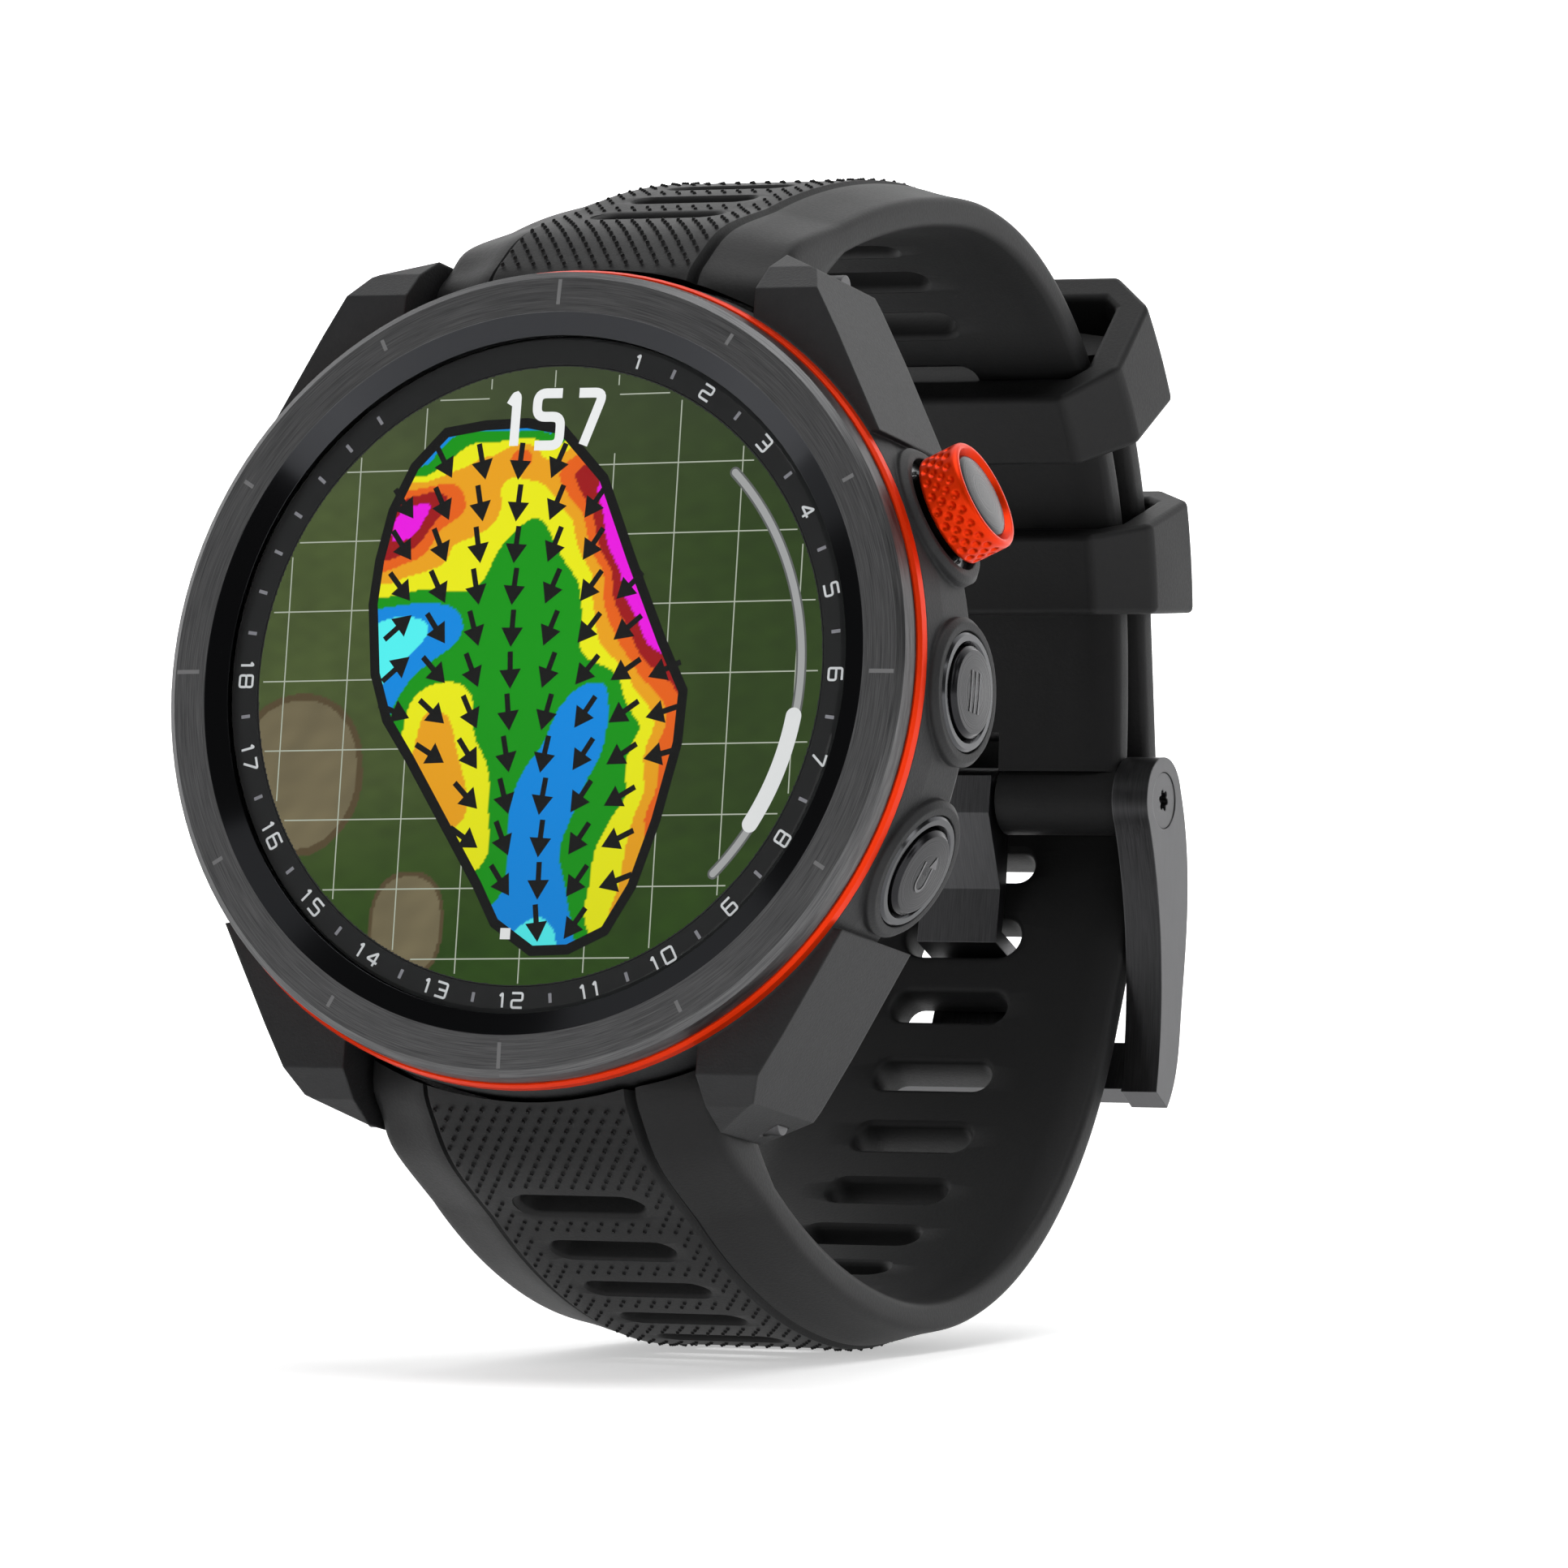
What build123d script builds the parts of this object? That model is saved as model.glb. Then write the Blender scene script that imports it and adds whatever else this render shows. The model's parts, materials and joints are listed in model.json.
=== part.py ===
from build123d import *
from math import cos, degrees, radians, sin
import os

# A golf gps watch: a round polymer case with a brushed metal bezel, three side buttons, and a
# perforated silicone strap closed by a pin buckle and two keepers. Sizes are in millimetres.
#
# Frame: +X is the 3 o'clock side, +Z is up, and the dial faces -Y, leaning back by LEAN.
# The origin is the middle of the case's height, WRIST_DEPTH behind the bezel's front face,
# which is where the wrist goes.
#
# Most pieces are drawn in one of three ways:
#   (radius, depth)  turned about the dial axis, with depth counted backwards from the bezel
#   (radius, reach)  turned about a button's axis, with reach counted out from the dial axis
#   (depth, height)  the watch seen from its side, extruded across

LEAN = 10.0
WRIST_DEPTH = 37.0

# Running and assembly clearances
FIT = 0.05            # radial clearance of pins and stems that turn or slide
SEAT = 0.03           # gap between pieces that are fixed to each other
SLIP = 0.1            # room round a drop-in piece
GAP = 0.3             # gap between soft pieces, and between the strap and the case
PAST = 1.0            # how far a cutter runs past the face that it opens

# Case and bezel
CASE_R = 24.1
CASE_TOP = 2.45       # depth of the case's top edge
CASE_DEEP = 12.6      # depth of the case's back edge
WALL_TOP = 4.5        # depth at which the case's wall reaches its full radius
TAPER = ((0.0, 4.4), (1.7, 0.8), (2.3, 0.0))    # (in from CASE_R, before CASE_DEEP) of the taper
EDGE_IN = 0.15        # how far the case's top edge is drawn in
BEZEL_STEP = 0.6      # how far the bezel's edge lies inside the case
BEZEL_R = CASE_R - BEZEL_STEP
BEZEL_DEEP = 1.6
BEZEL_BAND = 2.4      # width of the brushed face
BEZEL_SLOPE = 1.35    # width of the polished slope down to the glass
BEZEL_EDGE = ((0.4, 0.12), (0.0, 0.43))         # (in from BEZEL_R, depth) of the edge
FLANK_OUT = 0.15
LIP_OUT = 0.3         # the spigot stands this far outside the slope
LIP_WALL = 1.3
ACCENT_STEP = (0.2, 0.3)    # (in from CASE_R, below the bezel) of the ring's front edge

# Glass and display
BEZEL_INNER_R = BEZEL_R - BEZEL_BAND
LENS_R = BEZEL_INNER_R - BEZEL_SLOPE
LENS_TOP = 0.45
LENS_THICK = 0.6
LENS_CHAMFER = 0.25
SCALE_WIDTH = 1.65    # width of the printed ring between display and glass edge
DISPLAY_R = LENS_R - SCALE_WIDTH
DISPLAY_THICK = 2.1
RING_THICK = 0.2

# Inside the case
LENS_SHELF = 1.05     # how far the cavity lies inside the glass's edge
CAVITY_R = LENS_R - LENS_SHELF
LIP_R = BEZEL_INNER_R + LIP_OUT
FRAME_HEIGHT = 1.6
FRAME_RIM = 0.8
FRAME_WALL = 1.0
BOARD_THICK = 0.9
CHIP_HEIGHT = 1.0
LARGE_CHIP = (5.0, 4.0)
LARGE_CHIPS = ((-6, 4), (5, 5), (1, -6))
SMALL_CHIP = (3.0, 3.0)
SMALL_CHIPS = ((-8, -5), (9, -3))
BATTERY_SIZE = (21.0, 18.0)
BATTERY_CORNER = 2.0
BATTERY_ROOM = 1.16   # room behind the battery, before the sensor board
MOTOR_R = 3.1
MOTOR_THICK = 2.6
ANTENNA_SIZE = (1.9, 10.0)
ANTENNA_SHORT = 0.2   # how far the antenna stops before the battery's back

# Back
COVER_THICK = 1.2
COVER_LEDGE = 2.3     # width of the ledge that the cover sits on
LEDGE_DEPTH = CASE_DEEP - COVER_THICK - SLIP
REBATE_R = CAVITY_R + COVER_LEDGE
COVER_R = REBATE_R - SLIP
COVER_BOSS = 0.6      # depth of the boss inside the cavity
COVER_SLOPE = (14.0, 0.35)    # (radius, rise) where the cover's back starts to swell
COVER_BACK = LEDGE_DEPTH + COVER_THICK
GASKET_WIDTH = 0.45
GASKET_AT = (0.45, 0.15)      # the groove's edges, before the ledge
WINDOW_R = 6.5
WINDOW_FRONT = 0.2    # how far the window's front lies before the ledge
WINDOW_DOME = 0.2
DOME_R = 9.5
BACK_RISE = 1.2       # how far the sensor dome stands out behind the cover
SENSOR_THICK = 0.47
SCREWS = 4
SCREW_IN = 1.0        # from the cavity's wall out to the screws' circle
SCREW_CIRCLE_R = CAVITY_R + SCREW_IN
SCREW_R = 0.55
SCREW_HEAD_R = 0.9
SCREW_HEAD = 0.5
SCREW_SUNK = 0.1      # how far the heads lie under the cover's back
SCREW_SOCKET = 0.4
SCREW_LENGTH = 4.0
CONTACTS = 4
CONTACT_R = 0.7
CONTACT_PITCH = 2.2
CONTACT_Y = -10.6
CONTACT_OUT = 0.6

# Buttons, from the switch in the case out to the cap
BUTTON_ANGLES = {"start": 65.0, "menu": 90.0, "back": 115.0}   # clockwise from 12 o'clock
BUTTON_OUT = {"start": 2.2, "menu": 0.5, "back": 0.5}          # cap's face, out of the boss
COLLAR_OUT = {"start": -0.5, "menu": 0.1, "back": 0.1}         # the start collar clears its grip
BUTTON_TRAVEL = 0.6
CAP_R = 2.65
CAP_EDGE = (0.25, 0.08, 0.35)    # chamfer's width, the face's crown, and the chamfer's foot
STEM_R = 1.0
SEAL_WIDTH = 0.6
SEAL_THICK = 0.8
CLIP_WIDTH = 0.7
CLIP_THICK = 0.25
GROOVE_DEEP = 0.25
SPRING_GAP = 0.35     # between stem and spring
SPRING_WALL = 0.75
SPRING_LENGTH = 1.5
COLLAR_WIDTH = 0.85
COLLAR_RAISED = 0.4   # the collar's foot, above the cap's underside
BOSS_WIDTH = 0.8
BOSS_OUT = 0.4        # how far the bosses stand out of the case
BOSS_LOW = 0.25       # clearance of the bosses below the accent ring
SWITCH_SIZE = (2.6, 2.6)
SWITCH_HEIGHT = 1.1
SWITCH_IN = 2.9       # the switches' foot, in from the cavity's wall
PLUNGER_R = 0.7
PLUNGER = 0.25
FLEX_THICK = 0.25
FLEX_HALF = 1.2
FLEX_FLARE = 6.5      # the flex covers the side whose edge runs from here to the case's corner

SWITCH_REACH = CAVITY_R - SWITCH_IN
SWITCH_TOP = SWITCH_REACH + SWITCH_HEIGHT
STEM_END = SWITCH_TOP + PLUNGER + BUTTON_TRAVEL + FIT
CLIP_FOOT = STEM_END + 0.3
CLIP_TOP = CLIP_FOOT + CLIP_THICK
SEAL_FOOT = CAVITY_R + 1.5
SEAL_TOP = SEAL_FOOT + SEAL_THICK
SPRING_FLOOR = SEAL_TOP + 0.9
CAP_FOOT = SPRING_FLOOR + SPRING_LENGTH
COLLAR_FOOT = CAP_FOOT + COLLAR_RAISED
BOSS_REACH = CASE_R + BOSS_OUT
GROOVE_R = STEM_R - GROOVE_DEEP
CLIP_R = STEM_R + CLIP_WIDTH
SEAL_R = STEM_R + SEAL_WIDTH
COLLAR_R = CAP_R + COLLAR_WIDTH
BOSS_R = COLLAR_R + BOSS_WIDTH
BUTTON_DEPTH = CASE_TOP + BOSS_LOW + BOSS_R
GRIP_R = CAP_R + 0.65
GRIP_OUT = (0.25, 2.8)    # the grip's two faces, out of the boss
GRIP_TAPER = 0.75
GRIP_EDGE = 0.25
GRIP_LIP = 0.5            # the cap's face lies this far inside the grip's lip
BOARD_R = SWITCH_REACH - 0.5

# Lugs and their pins
STRAP_HALF = 11.0
LUG_THICK = 3.1
LUG_OUT = 1.5         # how far the lugs stand out of the case
LUG_IN = 10.0         # hidden inner edge of the lugs, inside the case
LUG_FLANK = ((2.2, 39.1), (0.4, 54.0))          # (out of the case, angle from 12 o'clock)
PIN_BEFORE = 2.2      # how far the pins lie before the case's back edge
PIN_OUT = 0.4
PIN_R = 0.7
PIN_IN_LUG = 2.3
LUG_HALF = STRAP_HALF + GAP + LUG_THICK
PIN_HALF = STRAP_HALF + PIN_IN_LUG
PIN_AT = (CASE_DEEP - PIN_BEFORE, CASE_R + PIN_OUT)

# Strap: one cross section, swept along the wrist
STRAP_THICK = 3.4     # at the raised panel
SHOULDER = 1.3        # drop from the panel to the top of the side face
BEVEL = 0.4
BEVEL_ACROSS = 2.0
PANEL_HALF = 6.4
RIDGE_HEIGHT = STRAP_THICK - SHOULDER
STRAP_START = (CASE_DEEP + 2.6, CASE_R + 3.1)
START_TURN = 25.8     # heading at the start, away from the case
LONG_ARCS = ((43.4, 24.65), (28.0, 75.0))
SHORT_ARCS = ((59.5, 16.26), (23.1, 84.55), (66.5, 9.8))
CORNER_R = 12.0       # bend between the wrist's curve and the tail
SLOT_PITCH = 4.85
SLOT_START = -1.9
SLOT_HALF = 3.95
SLOT_HEIGHT = 2.0
BLIND_DEPTH = 1.9     # depth of the first slot, behind which the latch lies
SHORT_PLAIN = 13.0    # length of each half's end that has no slots
LONG_PLAIN = 16.0
PIN_HOLE_HEIGHT = 2.7

# Buckle
AXLE_FROM_END = (1.93, -1.52)   # (depth, height) of the axle from the short half's inner end
AXLE_R = 1.0
BARREL_WALL = 1.2
NOTCH_HALF = 3.0
NOTCH_RAISED = 0.6    # the notch's middle, above the axle
ARM_THICK = 2.4
ARM_GAP = 0.2
ARM_EYE = 1.7         # eye's wall round the axle
BAR_THICK = 2.0
BAR_WIDTH = 3.2
BAR_PAST_PIN = 6.95   # from the tongue's hole to the bar, along the long half
TONGUE_REACH = 8.57   # from the axle to the hole that the tongue is in
BUCKLE_SCREW_OVER = 0.75        # head's radius beyond the axle's
BUCKLE_SCREW_HEAD = 0.8
BUCKLE_THREAD_R = 0.5
BUCKLE_THREAD = 3.0
LOBE_CIRCLE_R = 0.5   # six-lobe socket
LOBE_R = 0.2
LOBE_DEPTH = 0.5
TONGUE_SIDE = 0.3     # room each side of the tongue in its notch
TONGUE_THICK = 1.0
BARREL_R = AXLE_R + BARREL_WALL
NOTCH_LENGTH = 2 * BARREL_R + 2.2
ARM_EYE_R = AXLE_R + ARM_EYE
BUCKLE_SCREW_R = AXLE_R + BUCKLE_SCREW_OVER
ARM_IN = STRAP_HALF + ARM_GAP
TONGUE_HALF = NOTCH_HALF - TONGUE_SIDE

# Keepers
KEEPER_WALL = 2.2
KEEPER_LENGTH = 6.4
KEEPER_CORNER = 3.0
KEEPER_ANGLES = {"lower": 17.9, "upper": 44.4}    # about the centre of the short strap's bend
TAIL_PAST_KEEPER = 1.5

# Quick-release latches under the strap ends
LATCH_SIZE = (9.0, 2.0)
LATCH_THICK = 0.9
LATCH_TRAVEL = 1.0
LATCH_SHIFT = -0.6    # from the middle of the strap end's inner face, towards the case
LATCH_THUMB = (6.0, 0.6)
LATCH_SPRING_R = 0.35
LATCH_SPRING_X = 3.0

# ---------------------------------------------------------------- planes and helpers

ACROSS = Vector(1, 0, 0)
FACE = Vector(0, -cos(radians(LEAN)), sin(radians(LEAN)))
UP = Vector(0, sin(radians(LEAN)), cos(radians(LEAN)))
CENTRE = FACE * WRIST_DEPTH

HEAD = Plane(origin=CENTRE, x_dir=ACROSS, z_dir=FACE)
SIDE = Plane(origin=CENTRE, x_dir=FACE * -1, z_dir=ACROSS)
DIAL_CUT = Plane(origin=CENTRE, x_dir=ACROSS, z_dir=ACROSS.cross(FACE * -1))
DIAL_AXIS = Axis(CENTRE, FACE)

os.makedirs("parts", exist_ok=True)


def keep(builder, name):
    """Label a finished piece and write it."""
    builder.part.label = name
    export_step(builder.part, f"parts/{name}.step")


def ring(inner, outer, top, bottom):
    """The (radius, depth) outline of a plain ring."""
    return [(inner, top), (outer, top), (outer, bottom), (inner, bottom)]


def turn(outline, plane=DIAL_CUT, axis=DIAL_AXIS, mode=Mode.ADD):
    """Turn an outline about an axis, in the part that is being built."""
    with BuildSketch(plane) as profile:
        Polygon(*outline, align=None)
    revolve(profile.sketch, axis=axis, mode=mode)


def at_depth(depth):
    """A plane parallel to the dial, facing out, at a depth behind the bezel."""
    return HEAD.offset(-depth)


def button_axis(name):
    """The line that a button slides along, pointing out of the case."""
    angle = radians(BUTTON_ANGLES[name])
    return Axis(CENTRE - FACE * BUTTON_DEPTH, ACROSS * sin(angle) + UP * cos(angle))


def button_cut(name):
    """The plane in which a button's (radius, reach) outlines are drawn."""
    axis = button_axis(name)
    return Plane(origin=axis.position, x_dir=FACE, z_dir=FACE.cross(axis.direction))


def button_disc(name, reach):
    """A plane across a button's axis, at a reach from the dial axis."""
    axis = button_axis(name)
    return Plane(origin=axis.position + axis.direction * reach, x_dir=FACE, z_dir=axis.direction)


def side_cylinder(at, radius, low, high, mode=Mode.ADD):
    """A cylinder across the watch, centred on a (depth, height) point."""
    with BuildSketch(SIDE.offset(low)) as disc:
        with Locations(at):
            Circle(radius)
    extrude(disc.sketch, amount=high - low, mode=mode)


def mirrored(outline, sign):
    """A (depth, height) outline for the upper strap, or turned over for the lower one."""
    return [(depth, height * sign) for depth, height in outline]


# ---------------------------------------------------------------- routes of the strap's halves

def bend(start, heading, arcs, sign):
    """Follow arcs of (radius, turn) from a point; give the points, headings and centres.

    sign is 1 when the path turns left and -1 when it turns right."""
    stops = [(start, heading)]
    centres = []
    for radius, angle in arcs:
        (depth, height), now = stops[-1]
        side = radians(now + 90 * sign)
        centre = (depth + radius * cos(side), height + radius * sin(side))
        centres.append(centre)
        now += sign * angle
        back = radians(now - 90 * sign)
        stops.append(((centre[0] + radius * cos(back), centre[1] + radius * sin(back)), now))
    return stops, centres


SHORT_STOPS, SHORT_CENTRES = bend(STRAP_START, START_TURN, SHORT_ARCS, -1)
LONG_STOPS, LONG_CENTRES = bend((STRAP_START[0], -STRAP_START[1]), -START_TURN, LONG_ARCS, 1)

# The tail lies round the short half, about the same centre.
TAIL_CENTRE = SHORT_CENTRES[1]
TAIL_R = SHORT_ARCS[1][0] + STRAP_THICK + GAP
TAIL_FROM = 90 + SHORT_STOPS[2][1]          # polar angle at which the short half's bend ends
MIDDLE_R = SHORT_ARCS[1][0] + STRAP_THICK + GAP / 2
KEEPER_SPAN = degrees(KEEPER_LENGTH / MIDDLE_R)
TAIL_TO = KEEPER_ANGLES["upper"] + degrees(TAIL_PAST_KEEPER / TAIL_R)


def on_tail(angle, radius):
    """The (depth, height) point at a polar angle about the tail's centre."""
    return (TAIL_CENTRE[0] + radius * cos(radians(angle)),
            TAIL_CENTRE[1] + radius * sin(radians(angle)))


# Between the wrist's bend and the tail, the long half passes outside the buckle's barrel:
# two straight runs that meet in a corner, which is rounded.
RUN_FROM, RUN_HEADING = LONG_STOPS[-1]
RUN_TO = on_tail(TAIL_FROM, TAIL_R)
TAIL_HEADING = TAIL_FROM + 90
RUN_ACROSS = (RUN_TO[0] - RUN_FROM[0]) * sin(radians(TAIL_HEADING))
RUN_ALONG = (RUN_TO[1] - RUN_FROM[1]) * cos(radians(TAIL_HEADING))
RUN_LENGTH = (RUN_ACROSS - RUN_ALONG) / sin(radians(TAIL_HEADING - RUN_HEADING))
CORNER = (RUN_FROM[0] + RUN_LENGTH * cos(radians(RUN_HEADING)),
          RUN_FROM[1] + RUN_LENGTH * sin(radians(RUN_HEADING)))

with BuildLine(SIDE) as long_route:
    for (start, heading), (radius, angle) in zip(LONG_STOPS, LONG_ARCS):
        JernArc(start=start, tangent=(cos(radians(heading)), sin(radians(heading))),
                radius=radius, arc_size=angle)
    FilletPolyline(RUN_FROM, CORNER, RUN_TO, radius=CORNER_R)
    JernArc(start=RUN_TO, tangent=(cos(radians(TAIL_HEADING)), sin(radians(TAIL_HEADING))),
            radius=TAIL_R, arc_size=TAIL_TO - TAIL_FROM)

with BuildLine(SIDE) as short_route:
    for (start, heading), (radius, angle) in zip(SHORT_STOPS, SHORT_ARCS):
        JernArc(start=start, tangent=(cos(radians(heading)), sin(radians(heading))),
                radius=radius, arc_size=-angle)

LONG_WIRE = long_route.wire()
SHORT_WIRE = short_route.wire()


def station(wire, distance, sign):
    """The plane of the strap's cross section at a distance along its inner face.

    Its x runs across the strap and its y out of the loop. A negative distance is in the
    strap's end block, straight back from the start."""
    inside = max(distance, 0.0)
    tangent = wire.tangent_at(inside, position_mode=PositionMode.LENGTH)
    point = wire.position_at(inside, position_mode=PositionMode.LENGTH)
    point = point + tangent * (distance - inside)
    return Plane(origin=point, x_dir=ACROSS * sign, z_dir=tangent)


def strap_section(plane):
    """The strap's cross section: bevelled inner edges, shoulders, and a raised panel."""
    half = [(STRAP_HALF - BEVEL_ACROSS, 0), (STRAP_HALF, BEVEL), (STRAP_HALF, RIDGE_HEIGHT),
            (PANEL_HALF + GAP, STRAP_THICK - GAP), (PANEL_HALF, STRAP_THICK)]
    other = [(-across, out) for across, out in reversed(half)]
    with BuildSketch(plane) as section:
        Polygon(*half, *other, align=None)
    return section


def cut_slot(wire, distance, sign, height=SLOT_HEIGHT):
    """Cut one rounded slot through the strap, or half way where the latch lies behind it."""
    plane = station(wire, distance, sign)
    floor = STRAP_THICK - BLIND_DEPTH if distance < 0 else -STRAP_THICK
    through = Plane(origin=plane.origin + plane.y_dir * floor, x_dir=ACROSS,
                    z_dir=plane.y_dir)
    with BuildSketch(through) as slot:
        RectangleRounded(2 * SLOT_HALF, height, height / 2 - SEAT)
    extrude(slot.sketch, amount=3 * STRAP_THICK, mode=Mode.SUBTRACT)


def off_start(out):
    """The point at a height above the strap's inner face where its end block begins."""
    side = radians(START_TURN + 90)
    return (STRAP_START[0] + out * cos(side), STRAP_START[1] + out * sin(side))


END_TOP = CASE_R - 3.6          # hidden end of the block, cut away by the case
END_CORNER = (CASE_DEEP - 0.1, CASE_R - 0.3)
END_BACK = (CASE_DEEP - 0.4, END_TOP)
PANEL_OUTLINE = [(3.2, END_TOP), (3.2, CASE_R - 0.5), (4.7, CASE_R + 1.4), (7.8, CASE_R + 3.8),
                 off_start(STRAP_THICK), off_start(0), END_CORNER, END_BACK]
RIDGE_OUTLINE = [(5.2, END_TOP), (5.2, CASE_R - 0.7), (6.6, CASE_R + 0.8), (8.6, CASE_R + 2.7),
                 off_start(RIDGE_HEIGHT), off_start(BEVEL), (CASE_DEEP, CASE_R + 0.2), END_BACK]

LIP_INNER_R = LIP_R - LIP_WALL
SIDE_PROFILE = [(CASE_R - inward, CASE_DEEP - before) for inward, before in TAPER]
CASE_OUTLINE = [(CAVITY_R, CASE_TOP), (LIP_INNER_R, CASE_TOP), (LIP_INNER_R, BEZEL_DEEP + SEAT),
                (LIP_R, BEZEL_DEEP + SEAT), (LIP_R, CASE_TOP), (CASE_R - EDGE_IN, CASE_TOP),
                (CASE_R, WALL_TOP), *SIDE_PROFILE, (REBATE_R, CASE_DEEP),
                (REBATE_R, LEDGE_DEPTH), (CAVITY_R, LEDGE_DEPTH)]
CASE_CLEAR = [(0, 0), (BEZEL_R, 0), (CASE_R + GAP, CASE_TOP),
              *[(radius + GAP, depth) for radius, depth in SIDE_PROFILE],
              (SIDE_PROFILE[-1][0] + GAP, CASE_DEEP + PAST), (0, CASE_DEEP + PAST)]


def strap_end(sign):
    """The thick end of a strap half, shaped round the case, with a bore for its lug pin."""
    with BuildSketch(SIDE.offset(-PANEL_HALF)) as middle:
        Polygon(*mirrored(PANEL_OUTLINE, sign), align=None)
    extrude(middle.sketch, amount=2 * PANEL_HALF)
    for edge in (-1, 1):
        with BuildSketch(SIDE.offset(edge * PANEL_HALF)) as inner_face:
            Polygon(*mirrored(PANEL_OUTLINE, sign), align=None)
        with BuildSketch(SIDE.offset(edge * STRAP_HALF)) as outer_face:
            Polygon(*mirrored(RIDGE_OUTLINE, sign), align=None)
        loft(sections=[inner_face.sketch, outer_face.sketch], ruled=True)
    turn(CASE_CLEAR, mode=Mode.SUBTRACT)
    side_cylinder((PIN_AT[0], PIN_AT[1] * sign), PIN_R + FIT, -STRAP_HALF - PAST,
                  STRAP_HALF + PAST, mode=Mode.SUBTRACT)


def latch_plane(sign, shift=0.0):
    """The plane of a strap end's inner face: y runs away from the case, z into the strap."""
    run = Vector(STRAP_START[0] - END_CORNER[0], (STRAP_START[1] - END_CORNER[1]) * sign)
    run = run.normalized()
    middle = Vector((STRAP_START[0] + END_CORNER[0]) / 2,
                    (STRAP_START[1] + END_CORNER[1]) / 2 * sign) + run * shift
    along = SIDE.x_dir * run.X + SIDE.y_dir * run.Y
    into = ACROSS.cross(along) * sign
    return Plane(origin=SIDE.from_local_coords(middle), x_dir=ACROSS * sign, z_dir=into)


def latch_box(sign, size, low, high, shift, mode):
    """A box in a strap end's inner face, from low to high inside that face."""
    with BuildSketch(latch_plane(sign, shift).offset(low)) as block:
        Rectangle(*size)
    extrude(block.sketch, amount=high - low, mode=mode)


def latch_pocket(sign):
    """The pocket that a latch slides in, with room past it for its springs."""
    size = (LATCH_SIZE[0] + 2 * GAP, LATCH_SIZE[1] + LATCH_TRAVEL + 4 * SEAT)
    latch_box(sign, size, -PAST, LATCH_THICK + SEAT, LATCH_SHIFT + LATCH_TRAVEL / 2,
              Mode.SUBTRACT)


# ---------------------------------------------------------------- lugs and case

LUG_TIP = CASE_R + LUG_OUT
LUG_FOOT = CASE_R - LUG_IN
LUG_SIDE = [(2.6, LUG_FOOT), (2.6, CASE_R - 1.3), (4.2, CASE_R + 0.3), (6.8, CASE_R + 1.7),
            (CASE_DEEP - 3.0, CASE_R + 2.1), (CASE_DEEP - 0.8, LUG_TIP),
            (CASE_DEEP - 0.3, CASE_R - 0.5), (CASE_DEEP - 0.6, LUG_FOOT)]
LUG_PLAN = [(STRAP_HALF + GAP, LUG_FOOT), (STRAP_HALF + GAP, LUG_TIP), (LUG_HALF, CASE_R + 0.1),
            *[((CASE_R + out) * sin(radians(angle)), (CASE_R + out) * cos(radians(angle)))
              for out, angle in LUG_FLANK], (CAVITY_R - PAST, LUG_FOOT)]

with BuildPart() as lugs:
    for sign in (-1, 1):
        with BuildSketch(SIDE.offset(-CASE_R)):
            Polygon(*mirrored(LUG_SIDE, sign), align=None)
        extrude(amount=2 * CASE_R)
    with BuildSketch(HEAD.offset(-CASE_DEEP)):
        for across in (-1, 1):
            for sign in (-1, 1):
                Polygon(*[(x * across, y * sign) for x, y in LUG_PLAN], align=None)
    extrude(amount=CASE_DEEP, mode=Mode.INTERSECT)

with BuildPart() as case_body:
    turn(CASE_OUTLINE)
    add(lugs.part)
    turn([(0, CASE_TOP), (CAVITY_R, CASE_TOP), (CAVITY_R, LEDGE_DEPTH), (REBATE_R, LEDGE_DEPTH),
          (REBATE_R, CASE_DEEP + PAST), (0, CASE_DEEP + PAST)], mode=Mode.SUBTRACT)
    for name in BUTTON_ANGLES:
        cut, axis = button_cut(name), button_axis(name)
        turn([(0, REBATE_R + PAST), (BOSS_R, REBATE_R + PAST), (BOSS_R, BOSS_REACH - GAP),
              (BOSS_R - GAP, BOSS_REACH), (0, BOSS_REACH)], cut, axis)
        turn([(0, SWITCH_REACH), (STEM_R + FIT, SWITCH_REACH), (STEM_R + FIT, SEAL_FOOT - SEAT),
              (SEAL_R + SEAT, SEAL_FOOT - SEAT), (SEAL_R + SEAT, SEAL_TOP + SEAT),
              (STEM_R + FIT, SEAL_TOP + SEAT), (STEM_R + FIT, SPRING_FLOOR),
              (CAP_R + GAP, SPRING_FLOOR), (CAP_R + GAP, COLLAR_FOOT),
              (COLLAR_R + SEAT, COLLAR_FOOT), (COLLAR_R + SEAT, BOSS_REACH + PAST),
              (0, BOSS_REACH + PAST)], cut, axis, mode=Mode.SUBTRACT)
    for sign in (-1, 1):
        side_cylinder((PIN_AT[0], PIN_AT[1] * sign), PIN_R + SEAT, -PIN_HALF - SEAT,
                      PIN_HALF + SEAT, mode=Mode.SUBTRACT)
    with BuildSketch(at_depth(LEDGE_DEPTH)):
        with PolarLocations(SCREW_CIRCLE_R, SCREWS, start_angle=45):
            Circle(SCREW_R + SEAT)
    extrude(amount=SCREW_LENGTH, mode=Mode.SUBTRACT)
keep(case_body, "case_body")

for name, sign in (("upper", 1), ("lower", -1)):
    with BuildPart() as lug_pin:
        side_cylinder((PIN_AT[0], PIN_AT[1] * sign), PIN_R, -PIN_HALF, PIN_HALF)
    keep(lug_pin, f"lug_pin_{name}")

# ---------------------------------------------------------------- bezel, glass and display

with BuildPart() as bezel:
    turn([(LENS_R + SEAT, LENS_TOP), (BEZEL_INNER_R, 0),
          *[(BEZEL_R - inward, depth) for inward, depth in BEZEL_EDGE],
          (BEZEL_R + FLANK_OUT, BEZEL_DEEP), (LENS_R + SEAT, BEZEL_DEEP)])
keep(bezel, "bezel")

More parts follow.
